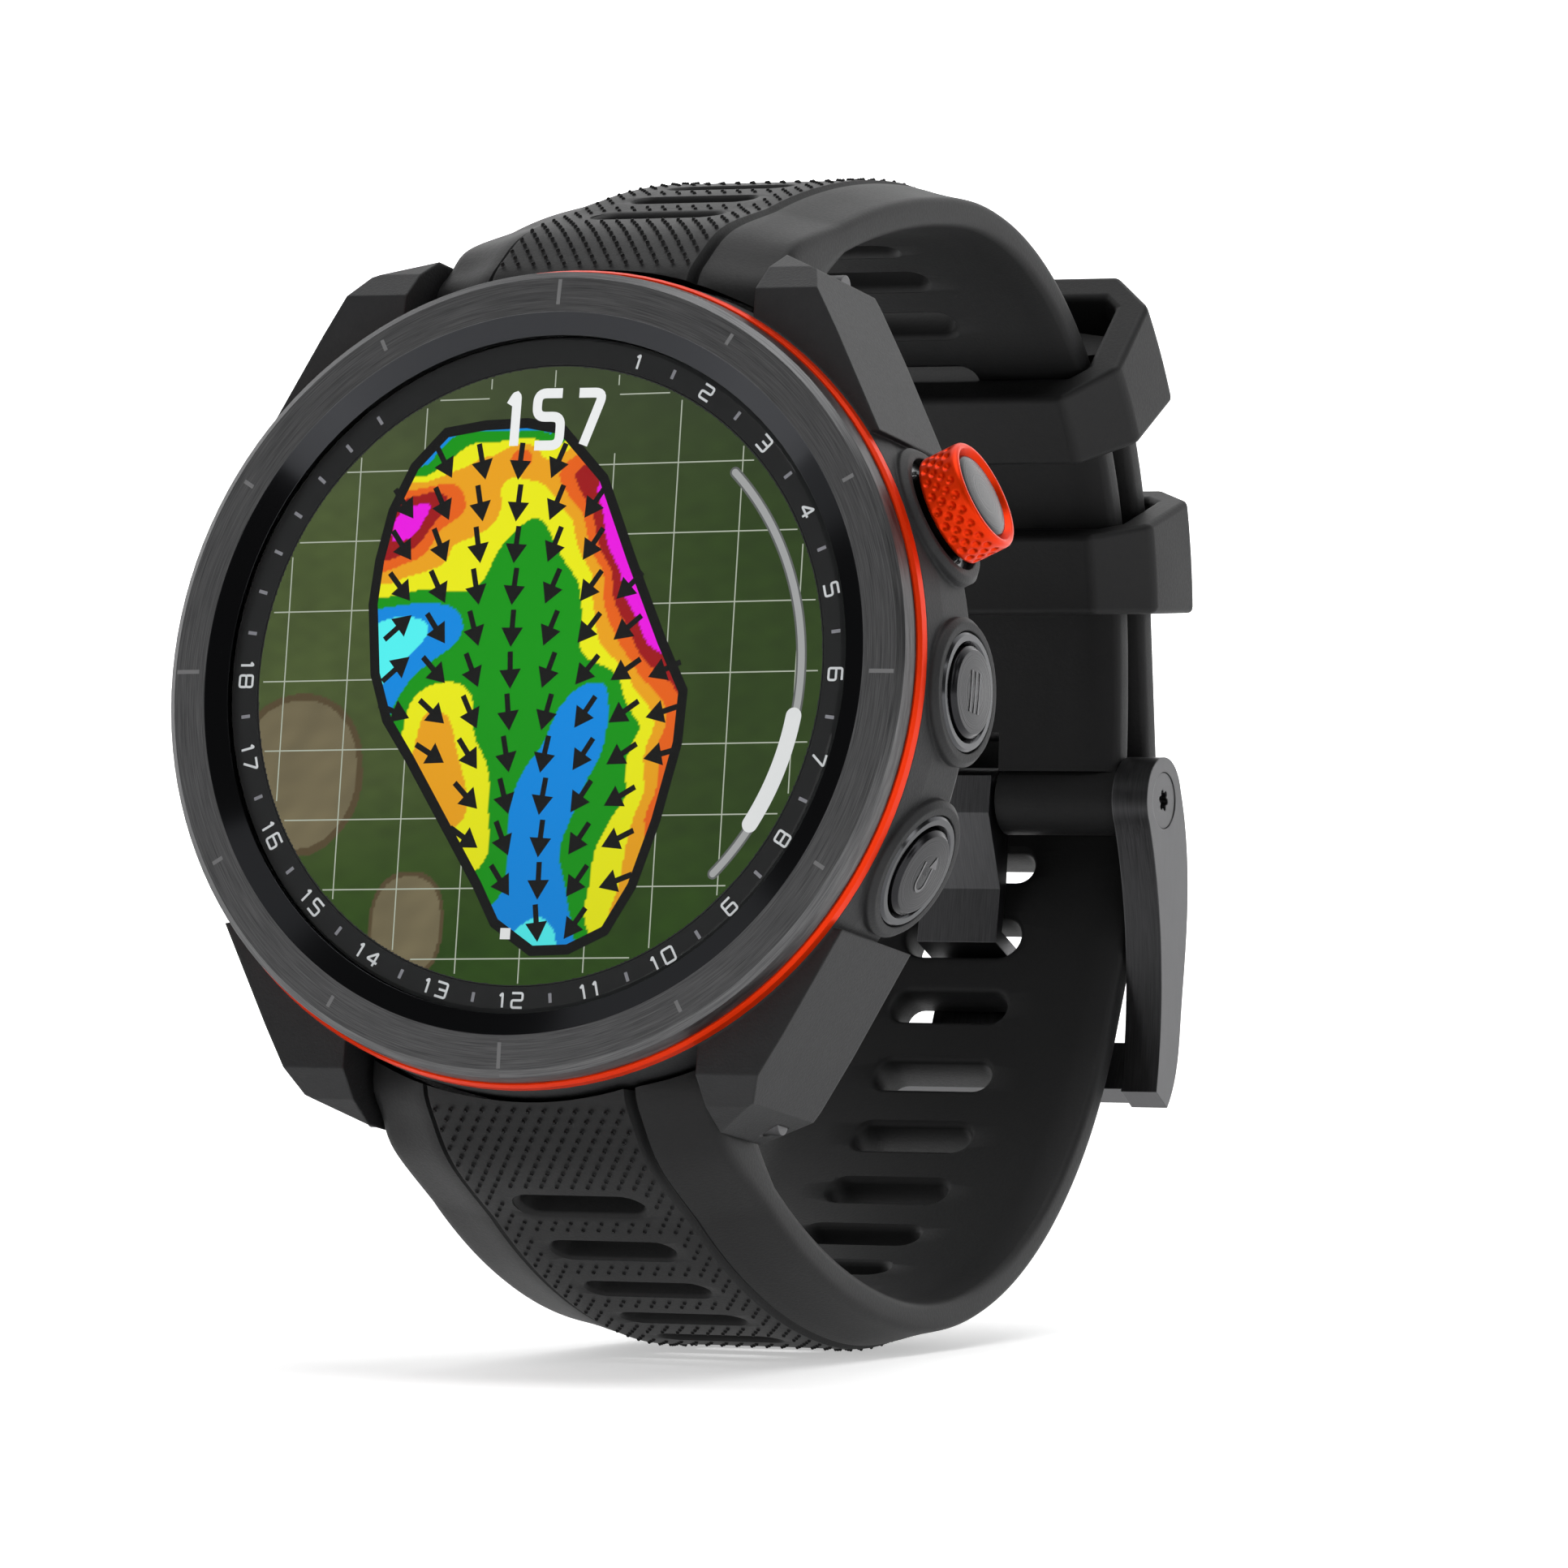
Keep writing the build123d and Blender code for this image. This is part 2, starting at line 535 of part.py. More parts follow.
with BuildPart() as accent_ring:
    turn([(LIP_R + SEAT, BEZEL_DEEP), (BEZEL_R + FLANK_OUT + SLIP, BEZEL_DEEP),
          (CASE_R - ACCENT_STEP[0], BEZEL_DEEP + ACCENT_STEP[1]),
          (CASE_R - EDGE_IN, CASE_TOP), (LIP_R + SEAT, CASE_TOP)])
keep(accent_ring, "accent_ring")

LENS_BACK = LENS_TOP + LENS_THICK
with BuildPart() as lens:
    turn([(0, LENS_TOP), (LENS_R - LENS_CHAMFER, LENS_TOP), (LENS_R, LENS_TOP + LENS_CHAMFER),
          (LENS_R, LENS_BACK), (0, LENS_BACK)])
keep(lens, "lens")

RING_TOP = LENS_BACK + SEAT
with BuildPart() as scale_ring:
    turn(ring(DISPLAY_R + FIT, LENS_R, RING_TOP, RING_TOP + RING_THICK))
keep(scale_ring, "scale_ring")

with BuildPart() as lens_gasket:
    turn(ring(CAVITY_R + GAP, LENS_R, RING_TOP + RING_THICK, CASE_TOP))
keep(lens_gasket, "lens_gasket")

with BuildPart() as display_panel:
    turn(ring(0, DISPLAY_R, RING_TOP, RING_TOP + DISPLAY_THICK))
keep(display_panel, "display_panel")

FRAME_TOP = RING_TOP + DISPLAY_THICK + SEAT
with BuildPart() as display_frame:
    turn(ring(BOARD_R, DISPLAY_R, FRAME_TOP, FRAME_TOP + FRAME_RIM))
    turn(ring(BOARD_R, BOARD_R + FRAME_WALL, FRAME_TOP, FRAME_TOP + FRAME_HEIGHT))
keep(display_frame, "display_frame")

BOARD_TOP = FRAME_TOP + FRAME_HEIGHT + SEAT
with BuildPart() as main_board:
    turn(ring(0, BOARD_R, BOARD_TOP, BOARD_TOP + BOARD_THICK))
    with BuildSketch(at_depth(BOARD_TOP)):
        with Locations(*LARGE_CHIPS):
            Rectangle(*LARGE_CHIP)
        with Locations(*SMALL_CHIPS):
            Rectangle(*SMALL_CHIP)
    extrude(amount=CHIP_HEIGHT)
keep(main_board, "main_board")

BATTERY_TOP = BOARD_TOP + BOARD_THICK + SLIP
SENSOR_BACK = LEDGE_DEPTH - WINDOW_FRONT - SEAT
BATTERY_THICK = SENSOR_BACK - SENSOR_THICK - BATTERY_ROOM - BATTERY_TOP
with BuildPart() as battery:
    with BuildSketch(at_depth(BATTERY_TOP + BATTERY_THICK)):
        RectangleRounded(*BATTERY_SIZE, BATTERY_CORNER)
    extrude(amount=BATTERY_THICK)
keep(battery, "battery")

MOTOR_Y = -(BATTERY_SIZE[1] / 2 + MOTOR_R + GAP)
with BuildPart() as vibration_motor:
    with BuildSketch(at_depth(BATTERY_TOP + MOTOR_THICK)):
        with Locations((0, MOTOR_Y)):
            Circle(MOTOR_R)
    extrude(amount=MOTOR_THICK)
keep(vibration_motor, "vibration_motor")

ANTENNA_THICK = BATTERY_THICK - ANTENNA_SHORT
with BuildPart() as gnss_antenna:
    with BuildSketch(at_depth(BATTERY_TOP + ANTENNA_THICK)):
        with Locations((-BOARD_R - ANTENNA_SIZE[0] / 2, 0)):
            Rectangle(*ANTENNA_SIZE)
    extrude(amount=ANTENNA_THICK)
keep(gnss_antenna, "gnss_antenna")

# ---------------------------------------------------------------- back

GASKET_R = CAVITY_R - SLIP - GASKET_WIDTH
BOSS_EDGE_R = CAVITY_R - SLIP
GROOVE_TOP, GROOVE_FOOT = LEDGE_DEPTH - GASKET_AT[0], LEDGE_DEPTH - GASKET_AT[1]
DOME_BACK = COVER_BACK + BACK_RISE - WINDOW_DOME


def screw_holes(radius, depth, length):
    """Cut the four screws' holes from a depth, towards the dial."""
    with BuildSketch(at_depth(depth)) as holes:
        with PolarLocations(SCREW_CIRCLE_R, SCREWS, start_angle=45):
            Circle(radius)
    extrude(holes.sketch, amount=length, mode=Mode.SUBTRACT)


with BuildPart() as back_cover:
    turn([(WINDOW_R + SEAT, LEDGE_DEPTH - COVER_BOSS), (BOSS_EDGE_R, LEDGE_DEPTH - COVER_BOSS),
          (BOSS_EDGE_R, GROOVE_TOP), (GASKET_R, GROOVE_TOP), (GASKET_R, GROOVE_FOOT),
          (BOSS_EDGE_R, GROOVE_FOOT), (BOSS_EDGE_R, LEDGE_DEPTH + SEAT),
          (COVER_R, LEDGE_DEPTH + SEAT), (COVER_R, COVER_BACK),
          (COVER_SLOPE[0], COVER_BACK + COVER_SLOPE[1]), (DOME_R, DOME_BACK),
          (WINDOW_R + SEAT, DOME_BACK)])
    screw_holes(SCREW_R + FIT, COVER_BACK + PAST, COVER_THICK + COVER_BOSS + 2 * PAST)
    screw_holes(SCREW_HEAD_R + FIT, COVER_BACK + PAST, PAST + SCREW_SUNK + SCREW_HEAD)
    with BuildSketch(at_depth(DOME_BACK)):
        with Locations((0, CONTACT_Y)):
            with GridLocations(CONTACT_PITCH, 1, CONTACTS, 1):
                Circle(CONTACT_R + SEAT)
    extrude(amount=BACK_RISE + COVER_THICK + COVER_BOSS + PAST, mode=Mode.SUBTRACT)
keep(back_cover, "back_cover")

with BuildPart() as back_gasket:
    turn(ring(GASKET_R + SEAT, CAVITY_R - SEAT, GROOVE_TOP + SEAT, GROOVE_FOOT - SEAT))
keep(back_gasket, "back_gasket")

HEAD_TOP = COVER_BACK - SCREW_SUNK
with BuildPart() as back_screws:
    with BuildSketch(at_depth(HEAD_TOP)):
        with PolarLocations(SCREW_CIRCLE_R, SCREWS, start_angle=45):
            Circle(SCREW_HEAD_R)
    extrude(amount=SCREW_HEAD - SEAT)
    with BuildSketch(at_depth(HEAD_TOP - SCREW_HEAD / 2)):
        with PolarLocations(SCREW_CIRCLE_R, SCREWS, start_angle=45):
            Circle(SCREW_R)
    extrude(amount=SCREW_LENGTH)
    with BuildSketch(at_depth(COVER_BACK)):
        with PolarLocations(SCREW_CIRCLE_R, SCREWS, start_angle=45):
            RegularPolygon(SCREW_SOCKET, 6)
    extrude(amount=SCREW_SUNK + 0.7 * SCREW_HEAD, mode=Mode.SUBTRACT)
keep(back_screws, "back_screws")

with BuildPart() as sensor_window:
    turn([(0, LEDGE_DEPTH - WINDOW_FRONT), (WINDOW_R, LEDGE_DEPTH - WINDOW_FRONT),
          (WINDOW_R, DOME_BACK - FIT), (WINDOW_R - 2, DOME_BACK + WINDOW_DOME - FIT),
          (0, DOME_BACK + WINDOW_DOME)])
keep(sensor_window, "sensor_window")

with BuildPart() as sensor_board:
    turn(ring(0, WINDOW_R - 0.5, SENSOR_BACK - SENSOR_THICK, SENSOR_BACK))
keep(sensor_board, "sensor_board")

with BuildPart() as charge_contacts:
    with BuildSketch(at_depth(COVER_BACK + CONTACT_OUT)):
        with Locations((0, CONTACT_Y)):
            with GridLocations(CONTACT_PITCH, 1, CONTACTS, 1):
                Circle(CONTACT_R)
    extrude(amount=CONTACT_OUT + COVER_THICK + COVER_BOSS)
keep(charge_contacts, "charge_contacts")

# ---------------------------------------------------------------- buttons

for name in BUTTON_ANGLES:
    cut, axis, reach = button_cut(name), button_axis(name), BOSS_REACH + BUTTON_OUT[name]
    chamfer, crown, chamfer_foot = CAP_EDGE
    with BuildPart() as cap:
        turn([(0, STEM_END), (STEM_R, STEM_END), (STEM_R, CLIP_FOOT - SEAT),
              (GROOVE_R, CLIP_FOOT - SEAT), (GROOVE_R, CLIP_TOP + SEAT),
              (STEM_R, CLIP_TOP + SEAT), (STEM_R, CAP_FOOT), (CAP_R, CAP_FOOT),
              (CAP_R, reach - chamfer_foot), (CAP_R - chamfer, reach - crown), (0, reach)],
             cut, axis)
    keep(cap, f"{name}_cap")
    coil_in, coil_out = STEM_R + SPRING_GAP, STEM_R + SPRING_GAP + SPRING_WALL
    with BuildPart() as spring:
        turn([(coil_in, SPRING_FLOOR + SEAT), (coil_out, SPRING_FLOOR + SEAT),
              (coil_out, CAP_FOOT - SEAT), (coil_in, CAP_FOOT - SEAT)], cut, axis)
    keep(spring, f"{name}_spring")
    with BuildPart() as seal:
        turn([(STEM_R + FIT, SEAL_FOOT), (SEAL_R, SEAL_FOOT), (SEAL_R, SEAL_TOP),
              (STEM_R + FIT, SEAL_TOP)], cut, axis)
    keep(seal, f"{name}_seal")
    with BuildPart() as clip:
        turn([(GROOVE_R + SEAT, CLIP_FOOT), (CLIP_R, CLIP_FOOT), (CLIP_R, CLIP_TOP),
              (GROOVE_R + SEAT, CLIP_TOP)], cut, axis)
    keep(clip, f"{name}_clip")
    collar_top = BOSS_REACH + COLLAR_OUT[name]
    with BuildPart() as collar:
        turn([(CAP_R + FIT, COLLAR_FOOT + SEAT), (COLLAR_R, COLLAR_FOOT + SEAT),
              (COLLAR_R, collar_top - 2 * SLIP), (COLLAR_R - 2 * SLIP, collar_top),
              (CAP_R + GAP, collar_top), (CAP_R + FIT, collar_top - GAP)], cut, axis)
    keep(collar, f"{name}_collar")

cut, axis = button_cut("start"), button_axis("start")
grip_low, grip_high = BOSS_REACH + GRIP_OUT[0], BOSS_REACH + GRIP_OUT[1]
lip = BOSS_REACH + BUTTON_OUT["start"] - GRIP_LIP
with BuildPart() as start_grip:
    turn([(CAP_R + SEAT, grip_low + GRIP_TAPER), (GRIP_R - GRIP_EDGE, grip_low),
          (GRIP_R, grip_low + GRIP_EDGE), (GRIP_R, grip_high - GRIP_EDGE),
          (GRIP_R - GRIP_EDGE, grip_high), (CAP_R + GRIP_EDGE, grip_high),
          (CAP_R + SEAT + SLIP, lip), (CAP_R + SEAT, lip)], cut, axis)
keep(start_grip, "start_grip")

with BuildPart() as tact_switches:
    for name in BUTTON_ANGLES:
        with BuildSketch(button_disc(name, SWITCH_REACH)):
            Rectangle(*SWITCH_SIZE)
        extrude(amount=SWITCH_HEIGHT)
        with BuildSketch(button_disc(name, SWITCH_TOP)):
            Circle(PLUNGER_R)
        extrude(amount=PLUNGER)
keep(tact_switches, "tact_switches")

with BuildPart() as side_flex:
    turn(ring(SWITCH_REACH - SEAT - FLEX_THICK, SWITCH_REACH - SEAT,
              BUTTON_DEPTH - FLEX_HALF, BUTTON_DEPTH + FLEX_HALF))
    with BuildSketch(at_depth(CASE_DEEP)):
        Polygon((0, 0), (FLEX_FLARE, CASE_R), (CASE_R, CASE_R), (CASE_R, -CASE_R),
                (FLEX_FLARE, -CASE_R), align=None)
    extrude(amount=CASE_DEEP, mode=Mode.INTERSECT)
keep(side_flex, "side_flex")

# ---------------------------------------------------------------- strap

AXLE_AT = (SHORT_STOPS[-1][0][0] + AXLE_FROM_END[0], SHORT_STOPS[-1][0][1] + AXLE_FROM_END[1])


def slots_along(wire, plain):
    """The distances of the slots on a strap half, which leave its end plain."""
    count = int((wire.length - plain - SLOT_START) // SLOT_PITCH) + 1
    return [SLOT_START + SLOT_PITCH * number for number in range(count)]


def from_axle(distance):
    """A point of the long half's inner face, as (depth, height) from the buckle's axle."""
    point = SIDE.to_local_coords(station(LONG_WIRE, distance, 1).origin)
    return Vector(point.X - AXLE_AT[0], point.Y - AXLE_AT[1])


SHORT_SLOTS = slots_along(SHORT_WIRE, SHORT_PLAIN)
LONG_SLOTS = slots_along(LONG_WIRE, LONG_PLAIN)
SLOTS_BELOW = [slot for slot in LONG_SLOTS if from_axle(slot).Y < 0]
PIN_STATION = min(SLOTS_BELOW, key=lambda slot: abs(from_axle(slot).length - TONGUE_REACH))
BAR_STATION = PIN_STATION - BAR_PAST_PIN

with BuildPart() as strap_short:
    sweep(strap_section(station(SHORT_WIRE, 0, -1)).sketch, path=SHORT_WIRE)
    strap_end(1)
    side_cylinder(AXLE_AT, BARREL_R, -STRAP_HALF, STRAP_HALF)
    for distance in SHORT_SLOTS:
        cut_slot(SHORT_WIRE, distance, -1)
    side_cylinder(AXLE_AT, AXLE_R + FIT, -STRAP_HALF - PAST, STRAP_HALF + PAST,
                  mode=Mode.SUBTRACT)
    with BuildSketch(SIDE.offset(-NOTCH_HALF)):
        with Locations((AXLE_AT[0], AXLE_AT[1] + NOTCH_RAISED)):
            Rectangle(4 * BARREL_R, NOTCH_LENGTH)
    extrude(amount=2 * NOTCH_HALF, mode=Mode.SUBTRACT)
    latch_pocket(1)
keep(strap_short, "strap_short")

with BuildPart() as strap_long:
    sweep(strap_section(station(LONG_WIRE, 0, 1)).sketch, path=LONG_WIRE)
    strap_end(-1)
    for distance in LONG_SLOTS:
        cut_slot(LONG_WIRE, distance, 1,
                 PIN_HOLE_HEIGHT if distance == PIN_STATION else SLOT_HEIGHT)
    latch_pocket(-1)
keep(strap_long, "strap_long")

# ---------------------------------------------------------------- latches

for name, sign in (("upper", 1), ("lower", -1)):
    with BuildPart() as latch:
        latch_box(sign, LATCH_SIZE, SEAT, LATCH_THICK, LATCH_SHIFT, Mode.ADD)
        latch_box(sign, LATCH_THUMB, -GAP, LATCH_THICK, LATCH_SHIFT, Mode.ADD)
    keep(latch, f"latch_{name}")
    spring_from = LATCH_SHIFT + LATCH_SIZE[1] / 2 + SEAT
    spring_disc = latch_plane(sign, spring_from)
    with BuildPart() as latch_spring:
        with BuildSketch(Plane(origin=spring_disc.origin + spring_disc.z_dir * LATCH_THICK / 2,
                               x_dir=ACROSS, z_dir=spring_disc.y_dir)):
            with Locations((-LATCH_SPRING_X, 0), (LATCH_SPRING_X, 0)):
                Circle(LATCH_SPRING_R)
        extrude(amount=LATCH_TRAVEL)
    keep(latch_spring, f"latch_spring_{name}")

# ---------------------------------------------------------------- keepers

HUB = SIDE.from_local_coords((TAIL_CENTRE[0], TAIL_CENTRE[1], 0))
STACK_LOW = SHORT_ARCS[1][0] - GAP
STACK_HIGH = SHORT_ARCS[1][0] + 2 * STRAP_THICK + 2 * GAP

for name, middle in KEEPER_ANGLES.items():
    start = radians(middle - KEEPER_SPAN / 2)
    outward = SIDE.x_dir * cos(start) + SIDE.y_dir * sin(start)
    inner, outer = STRAP_HALF + GAP, STRAP_HALF + GAP + KEEPER_WALL
    low, high = STACK_LOW - KEEPER_WALL, STACK_HIGH + KEEPER_WALL
    with BuildPart() as keeper:
        with BuildSketch(Plane(origin=HUB, x_dir=ACROSS, z_dir=ACROSS.cross(outward))):
            Polygon((-outer, low + KEEPER_CORNER), (KEEPER_CORNER - outer, low),
                    (outer - KEEPER_CORNER, low), (outer, low + KEEPER_CORNER),
                    (outer, high - KEEPER_CORNER), (outer - KEEPER_CORNER, high),
                    (KEEPER_CORNER - outer, high), (-outer, high - KEEPER_CORNER), align=None)
            Polygon((-inner, STACK_LOW), (inner, STACK_LOW), (inner, STACK_HIGH - SHOULDER),
                    (inner - 2 * SHOULDER, STACK_HIGH), (2 * SHOULDER - inner, STACK_HIGH),
                    (-inner, STACK_HIGH - SHOULDER), align=None, mode=Mode.SUBTRACT)
        revolve(axis=Axis(HUB, ACROSS), revolution_arc=KEEPER_SPAN)
    keep(keeper, f"keeper_{name}")

# ---------------------------------------------------------------- buckle

BAR_PLANE = station(LONG_WIRE, BAR_STATION, 1)
BAR_LOW = STRAP_THICK + GAP


def off_strap(distance, out):
    """The (depth, height) point at a height above the long half's inner face."""
    plane = station(LONG_WIRE, distance, 1)
    local = SIDE.to_local_coords(plane.origin + plane.y_dir * out)
    return (local.X, local.Y)


BAR_NEAR, BAR_FAR = BAR_STATION + BAR_WIDTH / 2, BAR_STATION - BAR_WIDTH / 2
ARM_BACK = [(AXLE_AT[0] + 2.0, AXLE_AT[1] + 1.8), off_strap(BAR_STATION + 7.5, BAR_LOW + 0.3),
            off_strap(BAR_STATION + 4, BAR_LOW + 1.3), off_strap(BAR_NEAR, BAR_LOW + BAR_THICK),
            off_strap(BAR_FAR, BAR_LOW + BAR_THICK)]
ARM_FRONT = [off_strap(BAR_FAR, BAR_LOW), off_strap(BAR_NEAR + 0.6, BAR_LOW - 1.4),
             off_strap(BAR_STATION + 6, BAR_LOW - 3.2), (AXLE_AT[0] - 2.2, AXLE_AT[1] - 1.5)]

with BuildPart() as buckle_frame:
    for low in (-ARM_IN - ARM_THICK, ARM_IN):
        with BuildSketch(SIDE.offset(low)):
            with BuildLine():
                Spline(*ARM_BACK)
                Line(ARM_BACK[-1], ARM_FRONT[0])
                Spline(*ARM_FRONT)
                Line(ARM_FRONT[-1], ARM_BACK[0])
            make_face()
            with Locations(AXLE_AT):
                Circle(ARM_EYE_R)
        extrude(amount=ARM_THICK)
    with BuildSketch(Plane(origin=BAR_PLANE.origin + ACROSS * ARM_IN,
                           x_dir=BAR_PLANE.y_dir, z_dir=ACROSS)):
        with Locations((BAR_LOW + BAR_THICK / 2, 0)):
            Rectangle(BAR_THICK, BAR_WIDTH)
    extrude(amount=-2 * ARM_IN)
    side_cylinder(AXLE_AT, AXLE_R + SEAT, -ARM_IN - ARM_THICK, ARM_IN + ARM_THICK,
                  mode=Mode.SUBTRACT)
    head_floor = ARM_IN + ARM_THICK - BUCKLE_SCREW_HEAD
    for low in (head_floor, -head_floor - PAST):
        side_cylinder(AXLE_AT, BUCKLE_SCREW_R + SEAT, low, low + PAST, mode=Mode.SUBTRACT)
keep(buckle_frame, "buckle_frame")

with BuildPart() as buckle_axle:
    side_cylinder(AXLE_AT, AXLE_R, -head_floor + SEAT, head_floor - SEAT)
    for low in (-head_floor, head_floor - BUCKLE_THREAD):
        side_cylinder(AXLE_AT, BUCKLE_THREAD_R + SEAT, low, low + BUCKLE_THREAD,
                      mode=Mode.SUBTRACT)
keep(buckle_axle, "buckle_axle")

head_face = ARM_IN + ARM_THICK - FIT
with BuildPart() as buckle_screws:
    for end in (-1, 1):
        low, high = sorted((end * (head_floor + SEAT), end * head_face))
        side_cylinder(AXLE_AT, BUCKLE_SCREW_R, low, high)
        low, high = sorted((end * (head_floor + SEAT), end * (head_floor - BUCKLE_THREAD + GAP)))
        side_cylinder(AXLE_AT, BUCKLE_THREAD_R, low, high)
        with BuildSketch(SIDE.offset(end * head_face)):
            with Locations(AXLE_AT):
                Circle(LOBE_CIRCLE_R)
                with PolarLocations(LOBE_CIRCLE_R, 6):
                    Circle(LOBE_R)
        extrude(amount=-end * LOBE_DEPTH, mode=Mode.SUBTRACT)
keep(buckle_screws, "buckle_screws")

TONGUE_TIP = BAR_NEAR + 0.5
TONGUE_OUTER = [(AXLE_AT[0] - 2.3, AXLE_AT[1] + 1.2), (AXLE_AT[0] - 2.3, AXLE_AT[1] - 1.2),
                off_strap(PIN_STATION + 2.6, -1.5), off_strap(PIN_STATION - 0.7, -0.6),
                off_strap(PIN_STATION - 0.7, BAR_LOW), off_strap(TONGUE_TIP, BAR_LOW)]
TONGUE_INNER = [off_strap(TONGUE_TIP, BAR_LOW + TONGUE_THICK),
                off_strap(PIN_STATION + 0.3, BAR_LOW + TONGUE_THICK),
                off_strap(PIN_STATION + 0.3, 0), off_strap(PIN_STATION + 3.2, -0.7),
                (AXLE_AT[0] + 1.0, AXLE_AT[1] - 1.5)]

with BuildPart() as buckle_tongue:
    with BuildSketch(SIDE.offset(-TONGUE_HALF)):
        Polygon(*TONGUE_OUTER, *TONGUE_INNER, align=None)
        with Locations(AXLE_AT):
            Circle(AXLE_R + TONGUE_THICK)
            Circle(AXLE_R + FIT, mode=Mode.SUBTRACT)
    extrude(amount=2 * TONGUE_HALF)
keep(buckle_tongue, "buckle_tongue")
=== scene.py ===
# %% [markdown]
# # A golf gps watch, dressed on its CAD frame
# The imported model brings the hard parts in: case, bezel, glass, buttons, buckle. This script keeps
# them where they are and gives every one a finish. It makes some parts again with more detail:
# the strap with its slots and dots, the keepers, the dimpled grip and the buckle's frame. The
# lit picture, the numbers and the signs on the buttons are new.

# %% Load the frame and keep its box
import json
import math

import bmesh
import bpy
import numpy as np
from mathutils import Matrix, Vector


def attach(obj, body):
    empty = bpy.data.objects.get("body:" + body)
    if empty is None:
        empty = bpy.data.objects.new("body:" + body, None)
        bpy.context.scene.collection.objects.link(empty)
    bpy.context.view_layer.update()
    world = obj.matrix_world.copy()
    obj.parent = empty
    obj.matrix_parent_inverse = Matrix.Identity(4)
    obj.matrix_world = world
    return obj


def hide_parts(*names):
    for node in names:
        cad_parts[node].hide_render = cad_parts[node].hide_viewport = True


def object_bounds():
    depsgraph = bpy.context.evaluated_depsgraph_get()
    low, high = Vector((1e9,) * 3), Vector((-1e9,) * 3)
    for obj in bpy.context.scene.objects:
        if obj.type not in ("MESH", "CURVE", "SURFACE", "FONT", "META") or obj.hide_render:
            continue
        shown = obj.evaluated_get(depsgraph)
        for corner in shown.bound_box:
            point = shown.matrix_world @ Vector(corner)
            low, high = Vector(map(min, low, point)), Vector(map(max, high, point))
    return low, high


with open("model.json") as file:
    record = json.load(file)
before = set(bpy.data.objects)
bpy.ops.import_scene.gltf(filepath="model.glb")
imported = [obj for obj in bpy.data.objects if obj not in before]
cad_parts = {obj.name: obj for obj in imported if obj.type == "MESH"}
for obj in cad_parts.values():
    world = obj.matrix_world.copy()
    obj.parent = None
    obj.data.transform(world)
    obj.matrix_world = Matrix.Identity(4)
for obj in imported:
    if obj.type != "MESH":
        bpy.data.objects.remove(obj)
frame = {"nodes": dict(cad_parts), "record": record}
CAD_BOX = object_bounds()
NODES = frame["nodes"]
SLOT_OF = {part["node"]: part["material_slot"] for part in frame["record"]["subparts"]}
BODY_OF = {node: body for body, nodes in frame["record"]["behaviour"]["bodies"].items()
           for node in nodes}

# %% [markdown]
# The watch is drawn in millimetres on the dial's own axes: across, depth behind the bezel's front
# face, and height up the dial. The dial leans back by ten degrees, so one function turns those
# three numbers into metres in the shared frame, and nothing is placed by hand after that.

# %% From the dial's axes to the shared frame
MM = 0.001
LEAN = math.radians(10.0)
WRIST_DEPTH = 37.0


def at(across, depth, height):
    """Metres in the shared frame: the second is cos(lean) * (depth - wrist depth) plus
    sin(lean) * height, and the third is cos(lean) * height minus sin(lean) times the same."""
    across, back, height = np.broadcast_arrays(across, np.subtract(depth, WRIST_DEPTH), height)
    return MM * np.stack([across, math.cos(LEAN) * back + math.sin(LEAN) * height,
                          math.cos(LEAN) * height - math.sin(LEAN) * back], -1)


print("the dial faces", (at(0, WRIST_DEPTH - 1, 0) / MM).round(4))

# %% [markdown]
# The camera stands level with the watch, well off to its right, with a long lens that flattens
# the view. Colours are shown as they are mixed, through the plain Standard view transform.

# %% Camera
CAMERA_AT = Vector((0.2593, -0.5502, 0.0045))
CAMERA_FORWARD = Vector((-0.4277, 0.9039, -0.0079)).normalized()
camera_data = bpy.data.cameras.new("camera")
camera_data.lens = 230.3
camera_data.sensor_width = 36.0
camera_data.clip_start = 0.01
camera = bpy.data.objects.new("camera", camera_data)
right = CAMERA_FORWARD.cross(Vector((0, 0, 1))).normalized()
upright = right.cross(CAMERA_FORWARD)
camera.matrix_world = Matrix.Translation(CAMERA_AT) @ Matrix(
    (right, upright, -CAMERA_FORWARD)).transposed().to_4x4()
bpy.context.scene.collection.objects.link(camera)
bpy.context.scene.camera = camera
bpy.context.scene.view_settings.view_transform = "Standard"

# %% [markdown]
# A finish is a small graph of nodes. Writing it as sums and products is easier to read than
# wiring it, so one class wraps a socket and turns Python's operators into Math nodes, and another
# holds the material and makes every other node from its type, its settings and its inputs.

# %% A small language for finishes
class Value:
    """A number or vector in a finish; arithmetic on it adds Math nodes."""

    def __init__(self, finish, socket):
        self.finish, self.socket = finish, socket

    def math(self, operation, *others):
        """A Math node of one operation, on this value and any others."""
        inputs = dict(enumerate((self, *others)))
        return self.finish.add("Math", {"operation": operation}, inputs)

    def output(self, name):
        """Another output of the node that this value comes from."""
        return Value(self.finish, self.socket.node.outputs[name])

    def __add__(self, other):
        return self.math("ADD", other)

    def __mul__(self, other):
        return self.math("MULTIPLY", other)

    def __sub__(self, other):
        return self.math("SUBTRACT", other)

    def __rsub__(self, other):
        return self * -1 + other

    def __truediv__(self, other):
        return self.math("DIVIDE", other)

    def __pow__(self, other):
        return self.math("POWER", other)

    __radd__, __rmul__ = __add__, __mul__

    def between(self, low, high):
        """0 below low, 1 above high, and a straight ramp from one to the other."""
        ramp = {"data_type": "FLOAT", "clamp": True}
        return self.finish.add("MapRange", ramp, {"Value": self, "From Min": low, "From Max": high})


